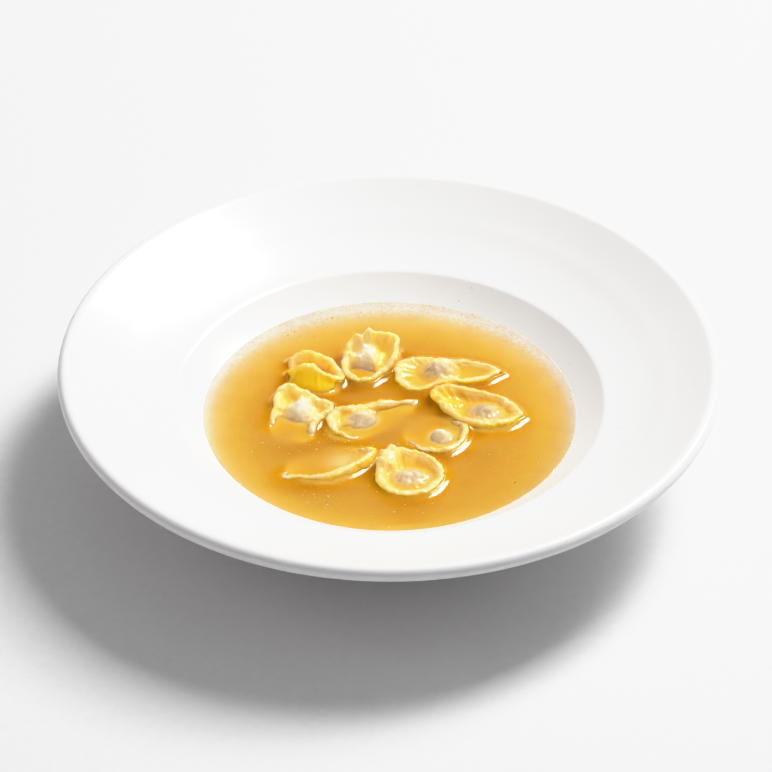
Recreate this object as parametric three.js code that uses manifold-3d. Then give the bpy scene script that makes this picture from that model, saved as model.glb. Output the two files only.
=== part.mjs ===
// Tortellini in broth: a wide-rimmed soup plate, its broth and nine tortellini.
// Millimetres, +Z up. The origin is the centre of the plate's foot, on the surface that it stands on.
import * as THREE from "three";
import { mergeVertices } from "three/addons/utils/BufferGeometryUtils.js";
import Module from "manifold-3d";

const wasm = await Module();
wasm.setup();

// ---------------------------------------------------------------- sizes
const TAU = 2 * Math.PI;

const PLATE_DIAMETER = 270; // over the lip
const LIP_SECTION = 3.2; // radius of the rolled lip's round section
const LIP_CENTRE_Z = 50; // height of the roll's centre
const FLANGE_START_R = 89.8; // where the wide flange leaves the shoulder of the well
const FLANGE_START_Z = 34.1;
const FLANGE_START_SLOPE = 0.3; // rise over run, growing steeper outwards
const LIP_MEET_ANGLE = 120; // degrees round the lip's section, where the flange's top meets it
const WELL_MOUTH_R = 87.3; // the well's upper edge
const WELL_MOUTH_Z = 33;
const WELL_FLOOR_Z = 8;
const WELL_POWER = 2.86; // how the well's wall curves up from its floor
const FLOOR_UNDERSIDE_Z = 2.8;
const FOOT_OUTER_R = 66;
const FOOT_INNER_R = 60;
const UNDER_STEP_R = 69.5; // the underside's inner turn above the foot
const UNDER_STEP_Z = 5.2;
const WALL = 5; // wall of the well and of the flange near it
const LIP_WALL = 4; // wall of the flange beside the lip
const PLATE_SIDES = 44;

const BROTH_Z = 25; // level of the broth
const GAP = 0.3; // between pieces that touch

const EDGE = 2.7; // thickness of the sealed double edge of dough
const LEAF = 2.2; // thickness of the single leaf of dough
const OUTER_STEEPER = 2.1; // how much steeper the leaf's outside climbs than its inside, which makes the edge's wall upright
const ROUND_STEPS = 24; // facets round a tortellino
const RISE_STEPS = 4; // rows from its middle to its edge

// ---------------------------------------------------------------- helpers
const rad = (degrees) => (degrees * Math.PI) / 180;
const clamp01 = (v) => Math.min(1, Math.max(0, v));
const smooth = (v) => v * v * (3 - 2 * v);

// A smooth closed curve through evenly spaced stations, as a value at an angle.
function station(values, phi) {
  const n = values.length;
  const t = (((phi / TAU) * n) % n + n) % n;
  const i = Math.floor(t);
  const f = t - i;
  const [a, b, c, d] = [-1, 0, 1, 2].map((k) => values[(i + k + n) % n]);
  return 0.5 * (2 * b + (c - a) * f + (2 * a - 5 * b + 4 * c - d) * f * f + (3 * b - a - 3 * c + d) * f * f * f);
}

// A bell of a given half width round an angle, both in degrees.
function bell(phi, at, half) {
  const d = ((phi - rad(at) + Math.PI) % TAU + TAU) % TAU - Math.PI;
  return Math.exp(-((d / rad(half)) ** 2));
}

const wellZ = (r) => WELL_FLOOR_Z + (WELL_MOUTH_Z - WELL_FLOOR_Z) * (r / WELL_MOUTH_R) ** WELL_POWER;

function geometryOf(positions, index) {
  const g = new THREE.BufferGeometry();
  g.setAttribute("position", new THREE.Float32BufferAttribute(positions, 3));
  g.setIndex(index);
  return g;
}

function solidOf(geometry) {
  let g = geometry.clone();
  g.deleteAttribute("normal");
  g.deleteAttribute("uv");
  g = mergeVertices(g, 1e-4);
  return new wasm.Manifold(
    new wasm.Mesh({
      numProp: 3,
      vertProperties: new Float32Array(g.attributes.position.array),
      triVerts: new Uint32Array(g.index.array),
    }),
  );
}

function geometryFrom(solid) {
  const m = solid.getMesh();
  const positions = [];
  for (let i = 0; i < m.numVert; i++) {
    for (let k = 0; k < 3; k++) positions.push(m.vertProperties[i * m.numProp + k]);
  }
  const g = geometryOf(positions, Array.from(m.triVerts));
  g.computeVertexNormals();
  return g;
}

// The largest of a solid's separate bodies.
function largest(solid) {
  return solid.decompose().sort((a, b) => b.volume() - a.volume())[0];
}

// Turns a half section, given as [radius, height] from the top of the axis to its bottom, into a solid round Z.
function turned(profile, sides) {
  const g = new THREE.LatheGeometry(profile.map(([r, z]) => new THREE.Vector2(r, z)).reverse(), sides);
  g.rotateX(Math.PI / 2);
  return g;
}

// ---------------------------------------------------------------- the plate
function plateProfile() {
  const lipR = PLATE_DIAMETER / 2 - LIP_SECTION;
  const lip = (angle) => [
    lipR + LIP_SECTION * Math.cos(rad(angle)),
    LIP_CENTRE_Z + LIP_SECTION * Math.sin(rad(angle)),
  ];
  const profile = [[0, WELL_FLOOR_Z]];
  for (const share of [0.3, 0.5, 0.65, 0.78, 0.9, 1]) {
    profile.push([WELL_MOUTH_R * share, wellZ(WELL_MOUTH_R * share)]);
  }
  // The flange: one sweep that starts flat beside the well and steepens towards the lip.
  const end = lip(LIP_MEET_ANGLE);
  const endSlope = 1 / Math.tan(rad(180 - LIP_MEET_ANGLE));
  const kneeR =
    (end[1] - endSlope * end[0] - FLANGE_START_Z + FLANGE_START_SLOPE * FLANGE_START_R) / (FLANGE_START_SLOPE - endSlope);
  const kneeZ = FLANGE_START_Z + FLANGE_START_SLOPE * (kneeR - FLANGE_START_R);
  const flange = new THREE.QuadraticBezierCurve(
    new THREE.Vector2(FLANGE_START_R, FLANGE_START_Z),
    new THREE.Vector2(kneeR, kneeZ),
    new THREE.Vector2(...end),
  ).getPoints(4);
  for (const p of flange) profile.push([p.x, p.y]);
  for (let angle = LIP_MEET_ANGLE - 40; angle >= -100; angle -= 40) profile.push(lip(angle));
  // The underside follows the top at the wall's thickness.
  for (const [i, p] of flange.slice(1, -1).reverse().entries()) {
    const wall = LIP_WALL + (WALL - LIP_WALL) * (i / 2);
    profile.push([p.x + wall * 0.35, p.y - wall]);
  }
  for (const share of [0.98, 0.88]) {
    profile.push([WELL_MOUTH_R * share + WALL * 0.75, wellZ(WELL_MOUTH_R * share) - WALL * 0.75]);
  }
  profile.push([UNDER_STEP_R, UNDER_STEP_Z], [FOOT_OUTER_R, 0], [FOOT_INNER_R, 0]);
  profile.push([FOOT_INNER_R - 2.4, FLOOR_UNDERSIDE_Z], [0, FLOOR_UNDERSIDE_Z]);
  return profile;
}

// ---------------------------------------------------------------- the tortellini
// Each is a leaf of dough folded into a dish round its pouch of filling.
//   at, yaw      centre and turn on the plate        half      half length and half width
//   rim, top     twelve stations round the sealed edge: its reach, as a share of half, and its height
//   tips         corners of the edge: [angle, reach, half width]
//   floor, rise  height of the leaf inside the edge, and how steeply it climbs to the edge
//   pouch        the filling's centre, and the bump that it raises: radii and height
//   belly        radii of the pouch below
//   swell        where the wall stands out under its edge: [angle, half width, share, depth]
//   pleats       pinched folds along the edge: [from, to, count, depth]
const TORTELLINI = [
  {
    name: "tortellino_1",
    at: [-8.8, 30.2], yaw: 0, half: [11, 11],
    rim: [1.0, 1.1, 1.02, 0.9, 0.88, 0.9, 0.92, 1.03, 1.06, 0.99, 0.77, 0.83],
    top: [32.2, 34.6, 36.0, 36.6, 35.2, 31.6, 29.2, 28.4, 28.0, 28.1, 28.8, 29.8],
    tips: [[137, 0.14, 15], [39, 0.22, 12]],
    floor: 23.6, rise: 3,
    pouch: [-0.4, 2.0, 6.2, 6.0, 6.2], belly: [8.5, 8.5],
    swell: [[262, 70, 0.22, 3.4]], pleats: [[60, 150, 3, 1.1]],
    dry: true,
  },
  {
    name: "tortellino_2",
    at: [-30.8, 25.0], yaw: -12, half: [11.6, 7.5],
    rim: [0.97, 0.78, 0.72, 0.8, 0.97, 1.1, 0.92, 0.98, 0.82, 0.66, 0.84, 1.02],
    top: [27.2, 28.8, 30.9, 32.0, 32.2, 29.0, 26.6, 28.6, 33.8, 34.0, 31.4, 28.4],
    tips: [],
    floor: 24.2, rise: 2.4,
    pouch: [0, 0, 5, 3, 0.6], belly: [8.5, 7],
    swell: [[276, 52, 1.5, 9]], pleats: [],
    dry: true,
  },
  {
    name: "tortellino_3",
    at: [-36.5, -1.0], yaw: -62, half: [15.7, 13.6],
    rim: [0.72, 0.65, 0.8, 0.56, 0.52, 0.58, 0.88, 0.8, 0.74, 0.97, 1.29, 1.11],
    top: [26.6, 27.5, 28.6, 30.4, 30.8, 31.2, 30.9, 29.5, 28.6, 26.2, 22.7, 23.6],
    tips: [[346, 0.18, 11], [73, 0.15, 14]],
    floor: 23.8, rise: 3,
    pouch: [0.6, -0.6, 6.4, 6.0, 5.6], belly: [8.5, 7.5],
    swell: [[318, 45, 0.16, 3.2]], pleats: [[20, 75, 2, 0.7]],
  },
  {
    name: "tortellino_4",
    at: [-9.0, -5.5], yaw: 14, half: [19.3, 9.1],
    rim: [0.86, 1.15, 0.92, 0.81, 0.98, 0.91, 0.84, 0.94, 1.06, 0.94, 0.78, 0.72],
    top: [22.5, 25.7, 28.0, 27.4, 27.8, 27.9, 27.7, 27.6, 26.5, 23.3, 22.7, 22.7],
    tips: [[33, 0.2, 8], [251, 0.17, 16]],
    floor: 23.4, rise: 3.4,
    pouch: [-2.2, 0, 6.6, 5.2, 4.6], belly: [10, 7.5],
    swell: [[235, 50, 0.3, 3.2]], pleats: [[200, 250, 2, 0.2]],
  },
  {
    name: "tortellino_5",
    at: [21.0, 24.9], yaw: -9, half: [21.8, 10.8],
    rim: [0.94, 1.07, 0.94, 0.73, 0.81, 0.84, 0.85, 0.92, 1.13, 0.66, 0.53, 0.68],
    top: [27.6, 28.0, 27.4, 27.4, 27.6, 27.9, 28.0, 27.9, 27.0, 27.0, 27.4, 27.1],
    tips: [[252, 0.24, 10], [17, 0.11, 8]],
    floor: 25.3, rise: 3.6,
    pouch: [-1.0, 1.2, 6.4, 5.6, 3.8], belly: [10, 7.5],
    swell: [[285, 75, 0.3, 3.2]], pleats: [[160, 200, 2, 0.2]],
    dry: true,
  },
  {
    name: "tortellino_6",
    at: [35.3, 0.5], yaw: -24, half: [19.2, 9.7],
    rim: [0.92, 0.99, 0.99, 0.92, 0.9, 0.99, 1.02, 0.87, 0.91, 1.05, 0.97, 0.88],
    top: [28.3, 28.4, 28.6, 29.0, 29.3, 30.2, 29.7, 29.3, 28.8, 28.0, 28.0, 28.1],
    tips: [[19, 0.04, 10], [153, 0.04, 8]],
    floor: 25.3, rise: 3.6,
    pouch: [4.6, -1.2, 6.8, 5.4, 3.6], belly: [9.5, 7.5],
    swell: [[294, 70, 0.3, 3.2]], pleats: [[140, 222, 4, 0.9]],
    dry: true,
  },
  {
    name: "tortellino_7",
    at: [18.7, -15.3], yaw: 20, half: [12.3, 12.6],
    rim: [1.03, 0.86, 0.82, 0.98, 1.04, 1.02, 0.92, 0.89, 0.92, 0.99, 0.97, 0.97],
    top: [27.8, 26.0, 24.3, 23.2, 22.8, 23.1, 24.5, 25.8, 26.7, 27.2, 27.5, 27.7],
    tips: [[8, 0.06, 8]],
    floor: 22.0, rise: 3.2,
    pouch: [1.2, -1.8, 5.0, 4.6, 5.0], belly: [8.5, 8.5],
    swell: [[290, 70, 0.16, 3.2]], pleats: [],
  },
  {
    name: "tortellino_8",
    at: [-24.9, -34.4], yaw: 22, half: [19.9, 9.4],
    rim: [0.96, 0.87, 0.9, 0.99, 0.92, 0.89, 0.84, 0.85, 0.92, 0.97, 0.91, 0.94],
    top: [27.8, 24.9, 22.8, 22.0, 22.6, 23.9, 25.6, 26.8, 27.2, 28.0, 28.6, 28.8],
    tips: [[188, 0.16, 17]],
    floor: 21.8, rise: 3.4,
    pouch: [5.0, 0.2, 7.0, 5.0, 2.4], belly: [10, 7.5],
    swell: [[275, 70, 0.34, 3.2]], pleats: [[330, 372, 2, 0.6]],
  },
  {
    name: "tortellino_9",
    at: [7.6, -43.2], yaw: 0, half: [12.8, 12.6],
    rim: [1.01, 1.0, 0.98, 1.0, 1.12, 1.02, 0.94, 1.02, 1.02, 0.98, 0.96, 0.97],
    top: [28.3, 28.8, 29.3, 29.6, 31.5, 31.5, 29.4, 28.3, 27.7, 27.4, 27.5, 27.8],
    tips: [],
    floor: 25.2, rise: 3.2,
    pouch: [0.6, -1.2, 6.6, 5.0, 2.8], belly: [9, 9],
    swell: [[280, 80, 0.18, 3.2]], pleats: [[95, 165, 3, 0.9]],
    dry: true,
  },
];

// The sealed edge at an angle: the middle of its thickness.
function edgeOf(t, phi) {
  let reach = station(t.rim, phi);
  for (const [at, by, half] of t.tips) reach += by * bell(phi, at, half);
  let z = station(t.top, phi);
  for (const [from, to, count, depth] of t.pleats) {
    const share = ((((phi - rad(from)) % TAU) + TAU) % TAU) / rad(to - from);
    if (share < 1) z += depth * Math.sin(Math.PI * share) * Math.cos(TAU * count * share);
  }
  return [t.half[0] * reach * Math.cos(phi), t.half[1] * reach * Math.sin(phi), z];
}

// Half the edge's thickness as a share of the edge's distance, wider where the edge runs askew.
function edgeShare(t, phi, thick) {
  const [x, y] = edgeOf(t, phi);
  const [x2, y2] = edgeOf(t, phi + 0.02);
  const r = Math.hypot(x, y);
  const across = Math.abs(x * (y2 - y) - y * (x2 - x)) / (r * Math.hypot(x2 - x, y2 - y));
  return thick / 2 / Math.max(across, 0.5) / r;
}

// A tortellino's solid. With grow it is larger by that much all round, and with lid it is filled and reaches up to that
// height, which is the room that it takes out of the broth.
function tortellino(t, bellyDrop, grow = 0, lid = 0) {
  const [px, py, bumpX, bumpY, bumpZ] = t.pouch;
  const at = (phi, s, outer) => {
    const [ex, ey, ez] = edgeOf(t, phi);
    const side = edgeShare(t, phi, EDGE + 2 * grow) * (outer ? 1 : -1);
    const x = ex * (1 + side) * s;
    const y = ey * (1 + side) * s;
    const bump = Math.exp(-(((x - px) / bumpX) ** 2) - ((y - py) / bumpY) ** 2);
    const belly = Math.exp(-((Math.hypot((x - px) / t.belly[0], (y - py) / t.belly[1]) ** 2.4)));
    const rimZ = ez - 0.35 * EDGE + (outer ? -grow / 2 : grow);
    let z;
    if (outer) {
      const base = t.floor - LEAF - grow;
      z = base + (rimZ - base) * s ** (t.rise * OUTER_STEEPER) - bellyDrop * belly * (1 - s ** 4);
    } else {
      const base = t.floor + grow;
      z = base + (rimZ - base) * s ** t.rise + bumpZ * bump * (1 - s ** 6);
    }
    let wide = 1;
    for (const [where, half, by, depth] of t.swell) {
      wide += by * bell(phi, where, half) * smooth(clamp01((rimZ - z) / depth)) * (outer ? 1 : 0.9);
    }
    return [x * wide, y * wide, z];
  };
  const rows = [];
  if (lid) {
    rows.push((phi) => [...at(phi, 0.5, true).slice(0, 2), lid]);
    rows.push((phi) => [...at(phi, 1, true).slice(0, 2), lid]);
  } else {
    for (let i = 1; i <= RISE_STEPS; i++) rows.push((phi) => at(phi, (i / RISE_STEPS) ** 0.8, false));
    rows.push((phi) => {
      const a = at(phi, 1, false);
      const b = at(phi, 1, true);
      return [(a[0] + b[0]) / 2, (a[1] + b[1]) / 2, a[2] + 0.35 * EDGE];
    });
  }
  for (let i = RISE_STEPS; i >= 1; i--) rows.push((phi) => at(phi, (i / RISE_STEPS) ** 0.8, true));
  const positions = [];
  const index = [];
  const turn = rad(t.yaw);
  const put = ([x, y, z]) =>
    positions.push(t.at[0] + x * Math.cos(turn) - y * Math.sin(turn), t.at[1] + x * Math.sin(turn) + y * Math.cos(turn), z);
  put(lid ? [0, 0, lid] : at(0, 1e-6, false));
  for (const row of rows) for (let j = 0; j < ROUND_STEPS; j++) put(row((j / ROUND_STEPS) * TAU));
  put(at(0, 1e-6, true));
  const last = 1 + rows.length * ROUND_STEPS;
  for (let j = 0; j < ROUND_STEPS; j++) {
    const k = (j + 1) % ROUND_STEPS;
    index.push(0, 1 + j, 1 + k);
    for (let i = 0; i < rows.length - 1; i++) {
      const a = 1 + i * ROUND_STEPS;
      const b = a + ROUND_STEPS;
      index.push(a + j, b + j, b + k, a + j, b + k, a + k);
    }
    index.push(last, last - ROUND_STEPS + k, last - ROUND_STEPS + j);
  }
  return geometryOf(positions, index);
}

// How far the pouch hangs below its leaf: until it rests on the well.
function restingDrop(t) {
  let low = 0;
  let high = 20;
  for (let n = 0; n < 24; n++) {
    const drop = (low + high) / 2;
    const p = tortellino(t, drop).attributes.position;
    let clear = Infinity;
    for (let i = 0; i < p.count; i++) {
      clear = Math.min(clear, p.getZ(i) - wellZ(Math.hypot(p.getX(i), p.getY(i))));
    }
    if (clear > GAP + 0.25) low = drop;
    else high = drop;
  }
  return low;
}

// ---------------------------------------------------------------- the pieces
const plate = solidOf(turned(plateProfile(), PLATE_SIDES));

const drops = TORTELLINI.map(restingDrop);
const pieces = [];
for (const [i, t] of TORTELLINI.entries()) {
  let solid = solidOf(tortellino(t, drops[i]));
  // A piece gives way where an earlier one presses on it.
  for (let j = 0; j < i; j++) solid = solid.subtract(solidOf(tortellino(TORTELLINI[j], drops[j], GAP)));
  pieces.push(largest(solid));
}

// The broth fills the well up to its level, clear of the plate and of every tortellino.
const brothProfile = [[0, BROTH_Z]];
const brothR = WELL_MOUTH_R * ((BROTH_Z - GAP - WELL_FLOOR_Z) / (WELL_MOUTH_Z - WELL_FLOOR_Z)) ** (1 / WELL_POWER) - GAP;
brothProfile.push([brothR, BROTH_Z]);
for (const share of [0.78, 0.65, 0.5, 0.3]) {
  brothProfile.push([WELL_MOUTH_R * share - GAP, wellZ(WELL_MOUTH_R * share) + GAP]);
}
brothProfile.push([0, WELL_FLOOR_Z + GAP]);
let broth = solidOf(turned(brothProfile, PLATE_SIDES));
for (const [i, t] of TORTELLINI.entries()) {
  broth = broth.subtract(solidOf(tortellino(t, drops[i], GAP)));
  if (t.dry) broth = broth.subtract(solidOf(tortellino(t, drops[i], GAP, BROTH_Z + 20)));
}
broth = largest(broth);

const finish = {
  china: new THREE.MeshStandardMaterial({ color: 0xf6f5f3, roughness: 0.16, metalness: 0 }),
  broth: new THREE.MeshStandardMaterial({ color: 0xdd9c35, roughness: 0.06, metalness: 0 }),
  dough: new THREE.MeshStandardMaterial({ color: 0xf2cb62, roughness: 0.32, metalness: 0 }),
};

const part = new THREE.Group();
function add(name, solid, material) {
  const mesh = new THREE.Mesh(geometryFrom(solid), material);
  mesh.name = name;
  part.add(mesh);
}
add("bowl", plate, finish.china);
add("broth", broth, finish.broth);
for (const [i, t] of TORTELLINI.entries()) add(t.name, pieces[i], finish.dough);

export default part;
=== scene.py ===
# Tortellini in broth in a wide-rimmed soup plate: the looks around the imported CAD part.
# The shapes are worked out in millimetres and scaled to metres when their meshes are made.
import math

import bpy
import numpy as np
from mathutils import Matrix, Vector
from mathutils.geometry import delaunay_2d_cdt
from mathutils.bvhtree import BVHTree
from mathutils.kdtree import KDTree


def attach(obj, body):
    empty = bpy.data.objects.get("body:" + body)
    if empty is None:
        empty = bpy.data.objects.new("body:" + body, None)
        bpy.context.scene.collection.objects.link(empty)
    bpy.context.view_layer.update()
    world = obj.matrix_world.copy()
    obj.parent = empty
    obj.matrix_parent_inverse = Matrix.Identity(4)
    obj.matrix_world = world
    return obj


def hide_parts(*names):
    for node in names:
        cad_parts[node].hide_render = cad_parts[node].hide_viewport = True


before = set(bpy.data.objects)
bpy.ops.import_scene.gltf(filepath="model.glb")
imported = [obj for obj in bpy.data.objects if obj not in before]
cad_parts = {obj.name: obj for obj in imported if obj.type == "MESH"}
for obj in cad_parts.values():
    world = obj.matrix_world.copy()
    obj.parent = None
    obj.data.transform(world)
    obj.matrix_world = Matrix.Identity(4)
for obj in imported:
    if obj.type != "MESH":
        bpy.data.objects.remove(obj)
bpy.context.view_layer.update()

TAU = 2 * math.pi
MM = 0.001

# ------------------------------------------------------------------ sizes, as in the CAD
PLATE_DIAMETER = 270.0
LIP_SECTION = 3.2
LIP_CENTRE_Z = 50.0
FLANGE_START_R, FLANGE_START_Z, FLANGE_START_SLOPE = 89.8, 34.1, 0.3
LIP_MEET_ANGLE = 120.0
WELL_MOUTH_R, WELL_MOUTH_Z, WELL_FLOOR_Z, WELL_POWER = 87.3, 33.0, 8.0, 2.86
FLOOR_UNDERSIDE_Z = 2.8
FOOT_OUTER_R, FOOT_INNER_R = 66.0, 60.0
UNDER_STEP_R, UNDER_STEP_Z = 69.5, 5.2
WALL, LIP_WALL = 5.0, 4.0
BROTH_Z = 25.0
GAP = 0.3
EDGE = 2.7
LEAF = 2.2

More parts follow.
